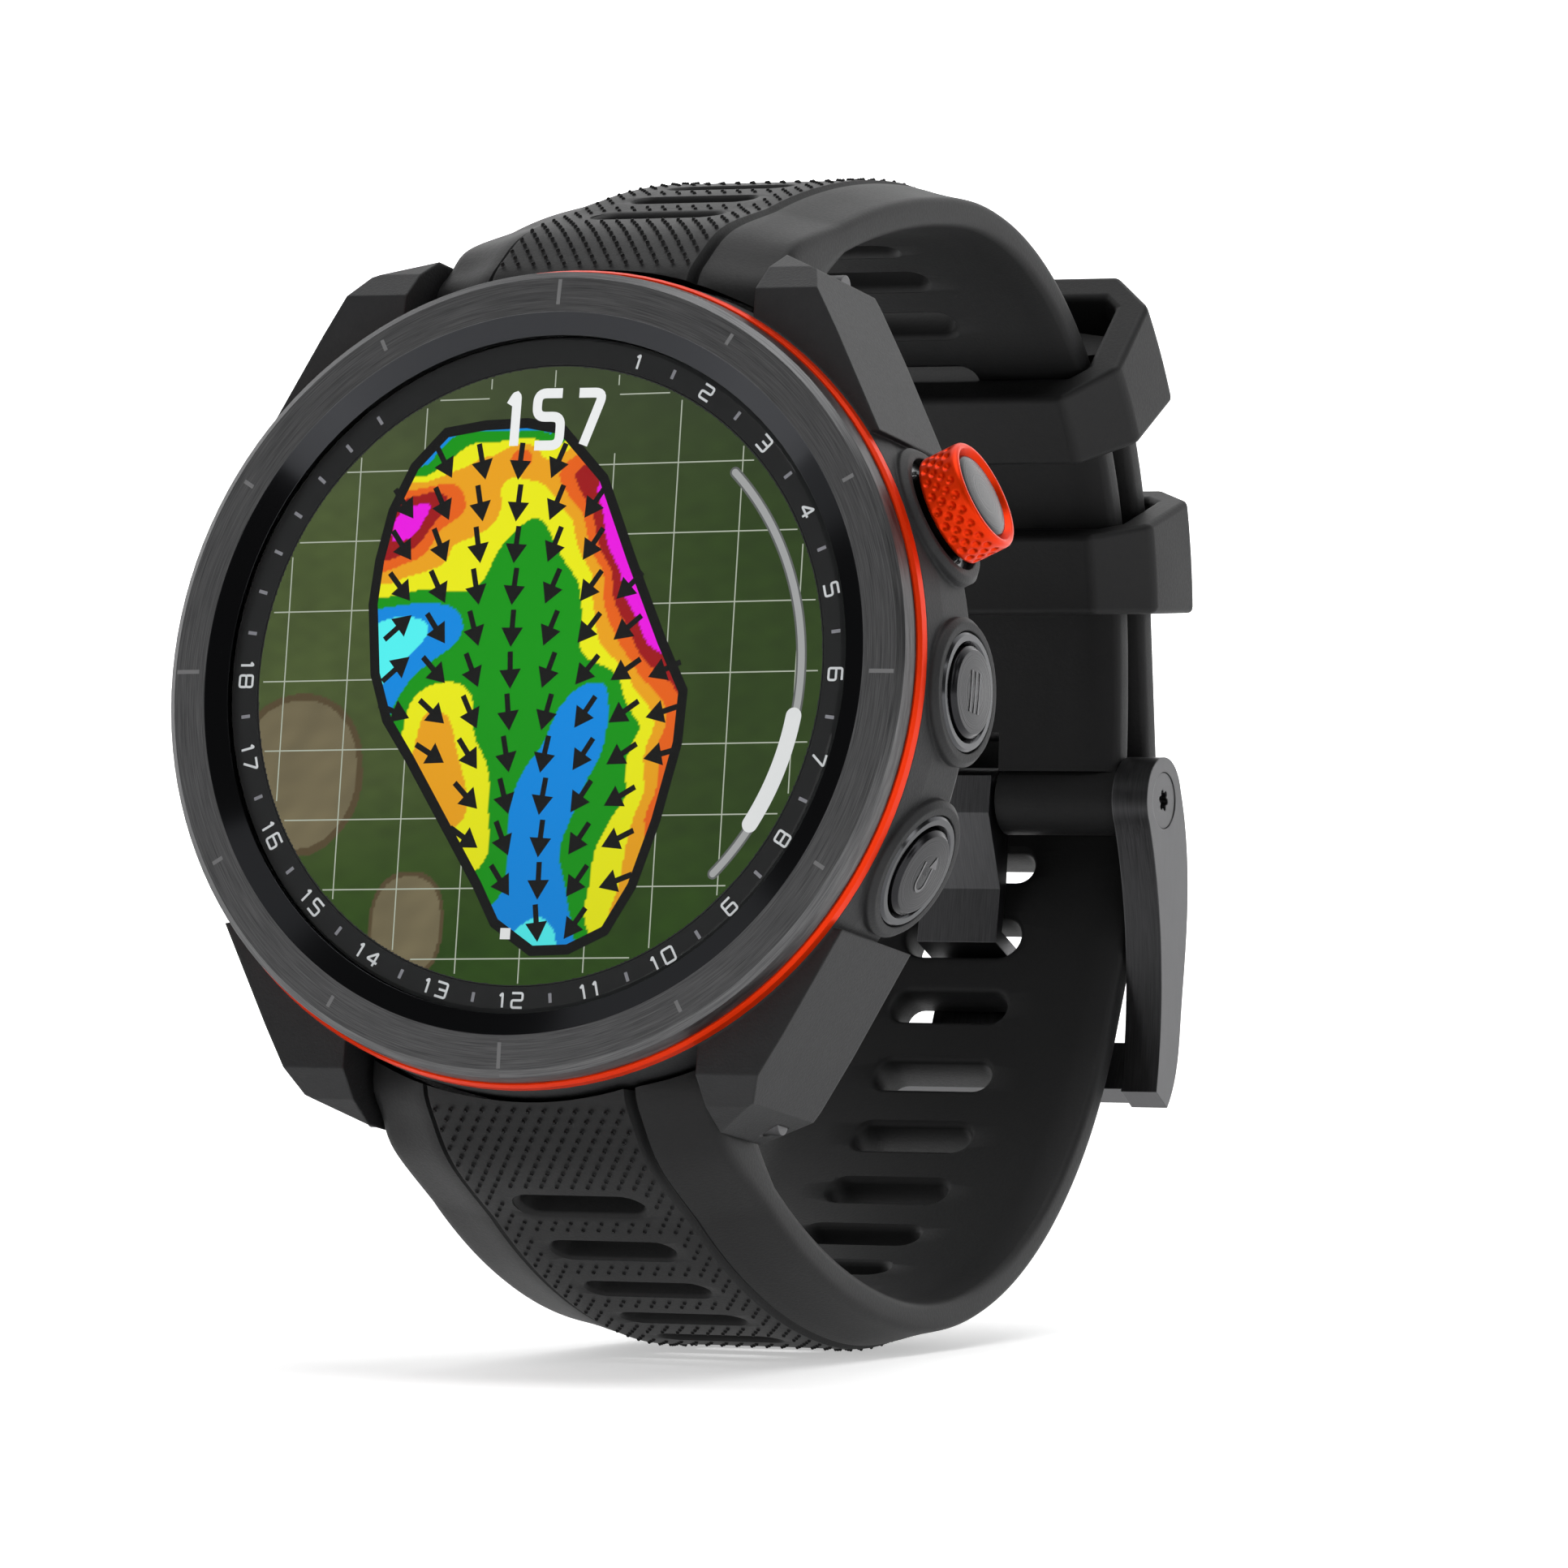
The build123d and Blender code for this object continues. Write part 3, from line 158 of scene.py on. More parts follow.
class Finish:
    """A material. Numbers that are the same all over are set on the shader's own sockets."""

    def __init__(self, name, color=(0.5, 0.5, 0.5), **constants):
        self.material = bpy.data.materials.new(name)
        self.material.use_nodes = True
        self.tree = self.material.node_tree
        self.shader = self.tree.nodes["Principled BSDF"]
        self.set("Base Color", (*color, 1.0))
        for key, value in constants.items():
            self.set(key.replace("_", " "), value)

    def set(self, name, value, node=None):
        """Set a socket of a node, or of the shader, to a plain value or link it to a Value."""
        socket = (node or self.shader).inputs[name]
        if isinstance(value, Value):
            self.tree.links.new(value.socket, socket)
        else:
            socket.default_value = value

    def add(self, kind, settings=None, inputs=None, out=0):
        """Make a node, set its settings and then its inputs, and return one of its outputs."""
        node = self.tree.nodes.new("ShaderNode" + kind)
        for key, value in (settings or {}).items():
            setattr(node, key, value)
        for key, value in (inputs or {}).items():
            self.set(key, value, node)
        return Value(self, node.outputs[out])

    def place(self):
        """The place on the piece, in metres; every finished piece's origin is the frame's."""
        return self.add("TexCoord", out="Object")

    def noise(self, scale, detail=2.0, vector=None, roughness=0.5):
        """Soft random values around 0.5, about scale of them to each unit of the vector."""
        vector = vector or self.place()
        return self.add("TexNoise", {}, {"Vector": vector, "Scale": scale, "Detail": detail,
                                         "Roughness": roughness})

    def blend(self, low, high, factor):
        """A colour that goes from low to high as factor goes from 0 to 1."""
        low, high = [c if isinstance(c, Value) else (*c, 1.0) for c in (low, high)]
        return self.add("Mix", {"data_type": "RGBA"}, {0: factor, 6: low, 7: high}, out=2)

    def relief(self, height, distance, strength=1.0, rounding=0.0):
        """Bump of a height from 0 to 1, distance metres deep, over edges rounded in shading."""
        inputs = {"Height": height, "Distance": distance, "Strength": strength}
        if rounding:
            inputs["Normal"] = self.add("Bevel", {"samples": 6}, {"Radius": rounding})
        self.set("Normal", self.add("Bump", {}, inputs))


# %% [markdown]
# Turned and spun parts need patterns that go round an axis. Object coordinates are turned onto
# the dial's axes, and a radius and an angle are worked out from them.

# %% Coordinates round the dial and round a button
BUTTON_ANGLES = {"start": 65.0, "menu": 90.0, "back": 115.0}
BUTTON_DEPTH = 7.0
METRES_TO_MM = (1000, 1000, 1000)


def round_dial(finish):
    """Radius in mm = sqrt(across^2 + height^2), and the angle round the dial, in radians."""
    turned = finish.add("Mapping", {}, {"Vector": finish.place(), "Rotation": (LEAN, 0, 0),
                                        "Scale": METRES_TO_MM})
    return polar(finish, turned, "X", "Z")


def polar(finish, vector, first, second):
    """Length and angle of two of a vector's numbers."""
    parts = finish.add("SeparateXYZ", {}, {"Vector": vector})
    a, b = parts.output(first), parts.output(second)
    return (a * a + b * b).math("SQRT"), a.math("ARCTAN2", b)


def round_button(finish, name):
    """Radius in mm and angle round a button's axis, which is turned up to be the Z axis."""
    in_dial = finish.add("Mapping", {}, {
        "Vector": finish.place(), "Rotation": (LEAN, 0, 0), "Scale": METRES_TO_MM,
        "Location": (0, WRIST_DEPTH - BUTTON_DEPTH, 0)})
    in_button = finish.add("Mapping", {}, {
        "Vector": in_dial, "Rotation": (0, -math.radians(BUTTON_ANGLES[name]), 0)})
    return polar(finish, in_button, "X", "Y")


def streaks(finish, radius, angle, fine, long):
    """Noise that is fine across the radius and long along the turn, as a lathe leaves it."""
    spread = finish.add("CombineXYZ", {}, {"X": radius * fine, "Y": angle * long})
    return finish.noise(1.0, 3.0, spread, 0.6)


# %% [markdown]
# The case is moulded from a glass-filled polymer, with the fine spark-eroded grain of its mould.
# Grain is a bump a tenth of a millimetre across, and the same noise moves the roughness a little,
# so that light breaks up over it. Edges are rounded in shading by a Bevel node.

# %% Finishes of the hard parts
case_finish = Finish("case_polymer", (0.013, 0.0132, 0.014), Specular_IOR_Level=0.3)
grain = case_finish.noise(6500, 3.0)
case_finish.set("Roughness", 0.5 + grain * 0.14)
case_finish.set("Base Color", case_finish.blend((0.011, 0.0112, 0.012), (0.017, 0.0173, 0.0183),
                                                case_finish.noise(900, 2.0)))
case_finish.relief(grain, 0.00003, 0.7, rounding=0.00022)

BEZEL_INNER_R = 21.1     # the brushed band starts here; the slope inside it is polished
BEZEL_BRIGHT = (0.15, 0.15, 0.152)
bezel_finish = Finish("brushed_bezel", BEZEL_BRIGHT, Metallic=1.0)
bezel_radius, bezel_angle = round_dial(bezel_finish)
brushed = bezel_radius.between(BEZEL_INNER_R - 0.06, BEZEL_INNER_R)
hairs = streaks(bezel_finish, bezel_radius, bezel_angle, 14.0, 5.0)
fine_hairs = streaks(bezel_finish, bezel_radius, bezel_angle, 45.0, 9.0)
both_hairs = (hairs * 0.5 + fine_hairs * 0.5).between(0.36, 0.64)
bezel_finish.set("Base Color", bezel_finish.blend(
    (0.035, 0.036, 0.039), bezel_finish.blend((0.06, 0.06, 0.062), BEZEL_BRIGHT, both_hairs),
    brushed))
bezel_finish.set("Roughness", 0.08 + brushed * (0.26 + both_hairs * 0.12))
bezel_finish.relief(both_hairs * brushed, 0.0000025, 0.6, rounding=0.00005)

accent_finish = Finish("orange_anodising", (0.72, 0.03, 0.0005), Metallic=0.55,
                       Specular_IOR_Level=0.1)
accent_finish.set("Roughness", 0.3 + accent_finish.noise(3000, 2.0) * 0.12)
accent_finish.relief(accent_finish.noise(9000, 2.0), 0.000006, 0.5, rounding=0.00006)

steel_finish = Finish("plain_steel", (0.48, 0.48, 0.49), Metallic=1.0)
steel_finish.set("Roughness", 0.26 + steel_finish.noise(4000, 3.0) * 0.16)

collar_finish = Finish("polished_collar", (0.07, 0.071, 0.075), Metallic=1.0)
collar_finish.set("Roughness", 0.14 + collar_finish.noise(2500, 2.0) * 0.08)
collar_finish.relief(collar_finish.noise(2500, 1.0), 0.000004, 0.3, rounding=0.00006)


def cap_finish(name):
    """Black cap, faced on a lathe: fine rings, about nine to the millimetre, in its relief."""
    finish = Finish(f"spun_cap_{name}", (0.028, 0.028, 0.03), Metallic=1.0)
    radius, angle = round_button(finish, name)
    rings = finish.noise(1.0, 2.0, finish.add("CombineXYZ", {}, {"X": radius * 9.0}))
    finish.set("Roughness", 0.2 + rings * 0.1)
    finish.relief(rings, 0.00002, 1.0, rounding=0.00006)
    return finish


cap_finishes = {name: cap_finish(name) for name in BUTTON_ANGLES}
print(len(cap_finishes), "cap finishes")

# %% [markdown]
# The buckle is flat strip steel, brushed along its length and coated black. Its brushing runs
# round the loop, so the noise is stretched along the side view's up direction and is very fine
# across the strap.

# %% Black brushed steel
black_steel_finish = Finish("black_brushed_steel", (0.07, 0.07, 0.073), Metallic=1.0)
drawn = black_steel_finish.add("Mapping", {}, {"Vector": black_steel_finish.place(),
                                               "Scale": (14000, 1200, 350)})
lines = black_steel_finish.noise(1.0, 3.0, drawn, 0.6)
black_steel_finish.set("Roughness", 0.22 + lines * 0.3)
black_steel_finish.set("Base Color", black_steel_finish.blend((0.045, 0.045, 0.047),
                                                              (0.12, 0.12, 0.124), lines))
black_steel_finish.relief(lines, 0.000008, 0.5, rounding=0.0001)

# %% [markdown]
# Silicone is soft and matte, with a skin so fine that it reads as a bloom more than a texture.
# Two noises do it: a fine one for the skin, and a broad one that makes some places a little
# drier than others.

# %% Silicone
silicone_finish = Finish("silicone", (0.008, 0.0081, 0.0084), Specular_IOR_Level=0.24)
skin = silicone_finish.noise(5200, 3.0)
broad = silicone_finish.noise(140, 2.0)
silicone_finish.set("Roughness", 0.44 + skin * 0.12 + broad * 0.1)
silicone_finish.set("Base Color", silicone_finish.blend((0.0066, 0.0067, 0.007),
                                                        (0.0105, 0.0106, 0.011), broad))
silicone_finish.relief(skin, 0.000022, 0.6)

# %% [markdown]
# The glass is clear, so it only needs its reflection: a little from the front and much more at
# a grazing angle. The printed ring under it is black with a slight sheen, and the panel is dark.

# %% Glass, print and panel
glass_finish = Finish("clear_glass")
clear = glass_finish.add("BsdfTransparent", {}, {"Color": (0.97, 0.98, 0.98, 1.0)})
gloss = glass_finish.add("BsdfGlossy", {}, {"Roughness": 0.02})
grazing = glass_finish.add("Fresnel", {}, {"IOR": 1.42})
smudge = glass_finish.noise(60, 2.0)
from_behind = glass_finish.add("NewGeometry", out="Backfacing")
reflected = grazing * (0.6 + smudge * 0.1) * (1 - from_behind)
shown = glass_finish.add("MixShader", {}, {0: reflected, 1: clear, 2: gloss})
glass_finish.tree.links.new(shown.socket,
                            glass_finish.tree.nodes["Material Output"].inputs["Surface"])

scale_finish = Finish("printed_black", (0.004, 0.004, 0.0045), Specular_IOR_Level=0.25)
scale_finish.set("Roughness", 0.3 + scale_finish.noise(2500, 2.0) * 0.12)
panel_finish = Finish("dark_panel", (0.003, 0.003, 0.004))
panel_finish.set("Roughness", 0.15 + panel_finish.noise(900, 2.0) * 0.1)

# %% [markdown]
# What is inside is out of sight, but it still gets a finish of its own, so that the model reads
# well when it is taken apart. Each has one colour that a noise moves a little.

# %% Finishes of the inner parts
INNER = {    # slot: (darker colour, lighter colour, roughness, metallic, grain per metre)
    "seal_rubber": ((0.012, 0.012, 0.013), (0.022, 0.022, 0.023), 0.7, 0.0, 3000),
    "inner_plastic": ((0.03, 0.03, 0.032), (0.05, 0.05, 0.053), 0.5, 0.0, 2500),
    "circuit": ((0.006, 0.07, 0.03), (0.012, 0.12, 0.05), 0.35, 0.0, 700),
    "battery": ((0.42, 0.43, 0.45), (0.58, 0.59, 0.6), 0.35, 1.0, 500),
    "antenna": ((0.6, 0.55, 0.45), (0.72, 0.67, 0.57), 0.5, 0.0, 1200),
    "window": ((0.004, 0.004, 0.005), (0.009, 0.008, 0.009), 0.08, 0.0, 300),
    "contact": ((0.7, 0.48, 0.18), (0.82, 0.6, 0.27), 0.22, 1.0, 2500),
    "flex": ((0.3, 0.13, 0.015), (0.42, 0.2, 0.03), 0.4, 0.0, 900),
}


def inner_finish(slot):
    """One colour, and a noise that moves it and its roughness a little."""
    darker, lighter, roughness, metallic, scale = INNER[slot]
    finish = Finish(slot, lighter, Metallic=metallic)
    cloud = finish.noise(scale, 3.0)
    finish.set("Base Color", finish.blend(darker, lighter, cloud))
    finish.set("Roughness", roughness * 0.85 + cloud * roughness * 0.3)
    finish.relief(cloud, 0.000015, 0.4, rounding=0.00008)
    return finish


FINISHES = {"case": case_finish, "bezel": bezel_finish, "accent": accent_finish,
            "lens": glass_finish, "scale": scale_finish, "display": panel_finish,
            "steel": steel_finish, "collar": collar_finish, "black_steel": black_steel_finish,
            "silicone": silicone_finish, **{slot: inner_finish(slot) for slot in INNER}}


def paint(piece, finish):
    """Put one finish on all of a piece's material slots."""
    if not piece.material_slots:
        piece.data.materials.append(finish.material)
    for slot in piece.material_slots:
        slot.material = finish.material


for name, node in NODES.items():
    button = name.removesuffix("_cap")
    paint(node, cap_finishes[button] if SLOT_OF[name] == "cap" else FINISHES[SLOT_OF[name]])
for name in ("lug_pin_upper", "lug_pin_lower"):    # blackened, as their ends show
    paint(NODES[name], black_steel_finish)

# %% [markdown]
# Every new piece is a grid or a set of polygons worked out as whole arrays. These helpers number a
# grid's faces, hand the arrays to a mesh, paint it with a finish, and say what body the piece rides
# on.

# %% From arrays to pieces
def grid_faces(rows, columns, round_rows=False, round_columns=False):
    """Quads between neighbours on a grid of points that are numbered row by row."""
    row, column = np.meshgrid(np.arange(rows if round_rows else rows - 1),
                              np.arange(columns if round_columns else columns - 1), indexing="ij")
    below, beside = (row + 1) % rows, (column + 1) % columns
    corners = [row * columns + column, below * columns + column,
               below * columns + beside, row * columns + beside]
    return np.stack(corners, -1).reshape(-1, 4).tolist()


def tube_faces(rows, columns):
    """A tube's sides, from ring to ring, and a many-cornered face at each end."""
    ends = [list(range(columns)), [(rows - 1) * columns + i for i in range(columns)]]
    return grid_faces(rows, columns, round_columns=True) + ends


def gathered(shapes):
    """One array of points and one list of faces from several (points, faces)."""
    counts = np.cumsum([0] + [len(points) for points, _ in shapes])
    faces = [[start + i for i in face] for start, (_, some) in zip(counts, shapes) for face in some]
    return np.concatenate([points for points, _ in shapes]), faces


def tidy(mesh, merge=0.000002):
    """Merge doubles, then turn every face outwards."""
    work = bmesh.new()
    work.from_mesh(mesh)
    bmesh.ops.remove_doubles(work, verts=work.verts, dist=merge)
    bmesh.ops.recalc_face_normals(work, faces=work.faces)
    work.to_mesh(mesh)
    work.free()


def piece_from(name, points, faces, finish=None, smooth=True, closed=True):
    """A new object at the origin, with its place in its mesh."""
    mesh = bpy.data.meshes.new(name)
    mesh.from_pydata(points.reshape(-1, 3).tolist(), [], faces)
    if closed:
        tidy(mesh)
    mesh.polygons.foreach_set("use_smooth", np.full(len(mesh.polygons), smooth))
    piece = bpy.data.objects.new(name, mesh)
    bpy.context.scene.collection.objects.link(piece)
    if finish:
        paint(piece, finish)
    return piece


def settle(piece, body, slot, *replaced):
    """Ride on a body, and stand for CAD nodes. The slot is not used."""
    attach(piece, body)
    if replaced:
        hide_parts(*replaced)
    print(piece.name, len(piece.data.polygons), "faces, rides on", body)


def baked(piece):
    """The mesh of a piece with its modifiers applied."""
    graph = bpy.context.evaluated_depsgraph_get()
    return bpy.data.meshes.new_from_object(piece.evaluated_get(graph))


def carve(piece, cutter, operation="DIFFERENCE"):
    """Take a cutter's solid away from a piece, or join it on, and drop the cutter."""
    boolean = piece.modifiers.new("carve", "BOOLEAN")
    boolean.object, boolean.operation, boolean.solver = cutter, operation, "EXACT"
    carved = baked(piece)
    piece.modifiers.clear()
    piece.data = carved
    bpy.data.objects.remove(cutter)


def shade_by_angle(piece, degrees):
    """Smooth shading, with creases where faces meet at more than an angle."""
    work = bmesh.new()
    work.from_mesh(piece.data)
    for edge in work.edges:
        edge.smooth = edge.calc_face_angle(math.pi) < math.radians(degrees)
    for face in work.faces:
        face.smooth = True
    work.to_mesh(piece.data)
    work.free()


# %% [markdown]
# The strap closes in a loop that is a chain of arcs, seen from the side. Its heading changes
# evenly along each arc, so adding up many short steps in that heading gives every point. The long
# half runs straight past the buckle's barrel and then follows the short half's bend, one strap's
# thickness further out.

# %% The strap's two routes
CASE_R, CASE_DEEP = 24.1, 12.6
STRAP_HALF, STRAP_THICK, SHOULDER, PANEL_HALF, GAP = 11.0, 3.4, 1.3, 6.4, 0.3
STRAP_START = np.array([CASE_DEEP + 2.6, CASE_R + 3.1])
START_TURN = 25.8
LONG_ARCS = ((43.4, 24.65), (28.0, 75.0))
SHORT_ARCS = ((59.5, 16.26), (23.1, 84.55), (66.5, 9.8))
CORNER_R = 12.0
KEEPER_ANGLES = {"lower": 17.9, "upper": 44.4}
KEEPER_LENGTH, TAIL_PAST_KEEPER = 6.4, 1.5


def heading_vector(degrees):
    """(cos, sin) of an angle in degrees."""
    return np.stack([np.cos(np.radians(degrees)), np.sin(np.radians(degrees))], -1)


def route(start, heading, moves):
    """Distances, points and headings along moves of (length, turn): the heading grows evenly
    over each length, and each point is the start plus all the short steps before it."""
    ends = np.concatenate([[0], np.cumsum([length for length, _ in moves])])
    headings = heading + np.concatenate([[0], np.cumsum([turn for _, turn in moves])])
    distance = np.linspace(0, ends[-1], 5001)
    middle = (distance[1:] + distance[:-1]) / 2
    steps = np.diff(distance)[:, None] * heading_vector(np.interp(middle, ends, headings))
    points = start + np.concatenate([np.zeros((1, 2)), np.cumsum(steps, 0)])
    return distance, points, np.interp(distance, ends, headings)


def arcs(list_of_arcs, side):
    """Moves for arcs of (radius, turn) that bend to one side."""
    return [(radius * math.radians(turn), side * turn) for radius, turn in list_of_arcs]


SHORT = route(STRAP_START, START_TURN, arcs(SHORT_ARCS, -1))
bend_from = SHORT_ARCS[0][0] * math.radians(SHORT_ARCS[0][1])
bend_point = np.array([np.interp(bend_from, SHORT[0], SHORT[1][:, axis]) for axis in (0, 1)])
bend_heading = START_TURN - SHORT_ARCS[0][1]
BEND_R = SHORT_ARCS[1][0]
HUB = bend_point + BEND_R * heading_vector(bend_heading - 90)

TAIL_R = BEND_R + STRAP_THICK + GAP
tail_from = bend_heading - SHORT_ARCS[1][1] + 90
tail_to = KEEPER_ANGLES["upper"] + math.degrees(TAIL_PAST_KEEPER / TAIL_R)
wrist = route(STRAP_START * (1, -1), -START_TURN, arcs(LONG_ARCS, 1))
run_from, run_heading = wrist[1][-1], wrist[2][-1]
run_to = HUB + TAIL_R * heading_vector(tail_from)
tail_heading = tail_from + 90
run_turn = tail_heading - run_heading
ahead, tail_ahead = heading_vector(run_heading), heading_vector(tail_heading)
gap_between = run_to - run_from
lengths = np.linalg.solve(np.stack([ahead, tail_ahead], -1), gap_between)
rounding = CORNER_R * math.tan(math.radians(run_turn / 2))
LONG = route(STRAP_START * (1, -1), -START_TURN, arcs(LONG_ARCS, 1) + [
    (lengths[0] - rounding, 0), (CORNER_R * math.radians(run_turn), run_turn),
    (lengths[1] - rounding, 0), (TAIL_R * math.radians(tail_to - tail_from), tail_to - tail_from)])
print("long half", LONG[0][-1].round(2), "mm, short half", SHORT[0][-1].round(2), "mm")

# %% [markdown]
# One cross section serves the whole strap: a flat inside with bevelled edges, rounded sides, a
# ridge, a shoulder that rises to a fine groove, and a flat panel that carries the dots. It is
# carried along three lines at once: the inner face, the panel and the ridge. Near the case the
# three lines part and curl round it, which makes the thick shaped end with the same section.

# %% The strap's skin
DOT_RISE = 0.15
SECTION = np.array([   # (across, height) of one half, from the middle of the inside to the panel
    (0, 0), (2, 0), (4, 0), (6, 0), (8, 0), (8.8, 0.01), (9.3, 0.07), (10.55, 0.33), (10.85, 0.45),
    (10.96, 0.62), (11, 0.85), (11, 1.3), (11, 1.62), (10.96, 1.83), (10.85, 2.0), (10.66, 2.12),
    (10.3, 2.2), (9.4, 2.38), (8.5, 2.6), (7.7, 2.83), (7.1, 2.98), (6.82, 3.02), (6.68, 2.9),
    (6.55, 2.86), (6.43, 2.94), (6.37, 3.12), (6.3, 3.24), (6.15, 3.25), (5, 3.25), (3.5, 3.25),
    (2, 3.25), (0, 3.25)])
SECTION = np.concatenate([SECTION, (SECTION * (-1, 1))[-2:0:-1]])
toward_ridge = np.clip((np.abs(SECTION[:, 0]) - PANEL_HALF) / (STRAP_HALF - PANEL_HALF), 0, 1)
FULL_HEIGHT = STRAP_THICK - SHOULDER * toward_ridge
SHARE = SECTION[:, 1] / FULL_HEIGHT


def out_of_loop(headings, side):
    """Unit vectors square to the strap, away from the wrist."""
    return heading_vector(headings + 90 * side)


def through(corners, count):
    """A smooth line of count points through corners: Catmull-Rom cubics, spaced by parameter."""
    corners = np.array(corners, float)
    padded = np.concatenate([2 * corners[:1] - corners[1:2], corners,
                             2 * corners[-1:] - corners[-2:-1]])
    place = np.linspace(0, len(corners) - 1.000001, count)
    index, t = place.astype(int), (place % 1)[:, None]
    a, b, c, d = (padded[index + step] for step in range(4))
    return 0.5 * (2 * b + (c - a) * t + (2 * a - 5 * b + 4 * c - d) * t**2
                  + (3 * b - a - 3 * c + d) * t**3)


def strap_lines(half, side, spacing=0.42):
    """The inner, panel and ridge lines of a strap half, from inside the case to its end.
    side is 1 for the short half, above, and -1 for the long one, below."""
    distance, points, headings = half
    rows = np.linspace(0, distance[-1], int(distance[-1] / spacing))
    inner = np.stack([np.interp(rows, distance, points[:, axis]) for axis in (0, 1)], -1)
    out = out_of_loop(np.interp(rows, distance, headings), side)
    panel, ridge = inner + STRAP_THICK * out, inner + (STRAP_THICK - SHOULDER) * out
    flip = np.array([1, side])
    top = CASE_R - 3.6
    back = [(CASE_DEEP - 0.4, top), (CASE_DEEP - 0.1, CASE_R - 0.3)]
    panel_end = [(3.2, top), (3.2, CASE_R - 0.5), (4.7, CASE_R + 1.4), (7.8, CASE_R + 3.8)]
    ridge_end = [(5.2, top), (5.2, CASE_R - 0.7), (6.6, CASE_R + 0.8), (8.6, CASE_R + 2.7)]
    count = 22
    heads = []
    for corners, line in ((back, inner), (panel_end, panel), (ridge_end, ridge)):
        stations = [*corners, line[0] * flip, line[4] * flip]
        smooth = through(stations, 40)
        reach = np.linalg.norm(smooth - line[0] * flip, axis=1).argmin()
        length = np.concatenate([[0], np.cumsum(np.linalg.norm(np.diff(smooth, axis=0), axis=1))])
        even = np.linspace(0, length[reach], count)[:-1]
        heads.append(np.stack([np.interp(even, length, smooth[:, axis]) for axis in (0, 1)],
                              -1) * flip)
    return [np.concatenate([head, line]) for head, line in zip(heads, (inner, panel, ridge))]


def strap_skin(name, half, side):
    """Point = inner line + share * (outer line - inner line), where the outer line goes from
    the panel's to the ridge's with the distance across."""
    inner, panel, ridge = strap_lines(half, side)
    outer = (panel[:, None] * (1 - toward_ridge[:, None]) + ridge[:, None] * toward_ridge[:, None])
    flat = inner[:, None] + SHARE[:, None] * (outer - inner[:, None])
    points = at(SECTION[:, 0], flat[..., 0], flat[..., 1])
    return piece_from(name, points, tube_faces(*points.shape[:2]), silicone_finish)


straps = {"short": strap_skin("strap_short_shape", SHORT, 1),
          "long": strap_skin("strap_long_shape", LONG, -1)}
print({name: len(piece.data.vertices) for name, piece in straps.items()})

# %% [markdown]
# Each slot is cut right through by a spool: a rounded slot's outline that flares at both faces,
# which leaves a soft rim as a mould does. All the spools of a half are one mesh, so one exact
# boolean cuts them all. Turned cutters clear the case, the pins and the buckle's axle.

# %% Slots and bores
SLOT_PITCH, SLOT_START, SLOT_HALF, SLOT_HEIGHT = 4.85, -1.9, 3.95, 2.0
SLOT_COUNTS = {"short": 11, "long": 18}
PIN_HOLE, PIN_HOLE_HEIGHT = 13, 2.7
RIM = [(-1.0, 0.62), (-0.02, 0.36), (0.06, 0.2), (0.18, 0.08), (0.36, 0.0), (3.0, 0.0),
       (3.14, 0.08), (3.24, 0.2), (3.32, 0.36), (4.4, 0.75)]
BLIND_RIM = [(1.5, -0.05), (1.6, 0.0), *RIM[5:]]
AXLE_AT = np.array([61.298, 2.798])
AXLE_R, BARREL_R, NOTCH_HALF = 1.0, 2.2, 3.0
PIN_AT = (CASE_DEEP - 2.2, CASE_R + 0.4)


def station(half, distance, side):
    """The point, the direction ahead and the direction out at a distance along a half."""
    distances, points, headings = half
    point = np.array([np.interp(max(distance, 0), distances, points[:, a]) for a in (0, 1)])
    heading = np.interp(max(distance, 0), distances, headings)
    ahead_now = heading_vector(heading)
    return point + ahead_now * min(distance, 0), ahead_now, out_of_loop(heading, side)


def spool(half, distance, side, height, rim):
    """A stadium outline, grown by the rim's amount at each of the rim's heights."""
    turn = np.radians(np.concatenate([np.linspace(-90, 90, 13), np.linspace(90, 270, 13)]))
    normal = np.stack([np.cos(turn), np.sin(turn)], -1)
    straight = SLOT_HALF - height / 2
    outline = normal * height / 2 + np.where(normal[:, :1] >= -1e-9, 1, -1) * (straight, 0)
    outline[[0, 12, 13, 25], 0] = (straight, straight, -straight, -straight)
    heights, growth = np.array(rim).T
    grown = outline[None] + growth[:, None, None] * normal[None]
    point, ahead_now, out = station(half, distance, side)
    flat = point + grown[..., 1:] * ahead_now + heights[:, None, None] * out
    points = at(grown[..., 0], flat[..., 0], flat[..., 1])
    return points.reshape(-1, 3), tube_faces(*points.shape[:2])


def joined(name, solids):
    """One piece from several solids."""
    return piece_from(name, *gathered(solids))


def rod(centre, radius, half_length, sides=48):
    """A cylinder across the watch, round a (depth, height) point."""
    turn = np.linspace(0, 2 * math.pi, sides, endpoint=False)
    across = np.array([-half_length, half_length])[:, None]
    points = at(across, centre[0] + radius * np.cos(turn), centre[1] + radius * np.sin(turn))
    return points.reshape(-1, 3), tube_faces(2, sides)


def block(low, high):
    """A box between two corners of (across, depth, height)."""
    corner = np.array(np.meshgrid(*zip(low, high), indexing="ij")).reshape(3, -1).T
    faces = [[0, 1, 3, 2], [4, 6, 7, 5], [0, 4, 5, 1], [2, 3, 7, 6], [0, 2, 6, 4], [1, 5, 7, 3]]
    return at(*corner.T), faces


def lathe(outline, sides=160):
    """An outline of (radius, depth) turned about the dial's axis."""
    radius, depth = np.array(outline, float).T
    turn = np.linspace(0, 2 * math.pi, sides, endpoint=False)
    points = at(radius[:, None] * np.sin(turn), depth[:, None], radius[:, None] * np.cos(turn))
    return points.reshape(-1, 3), grid_faces(len(radius), sides, round_columns=True)


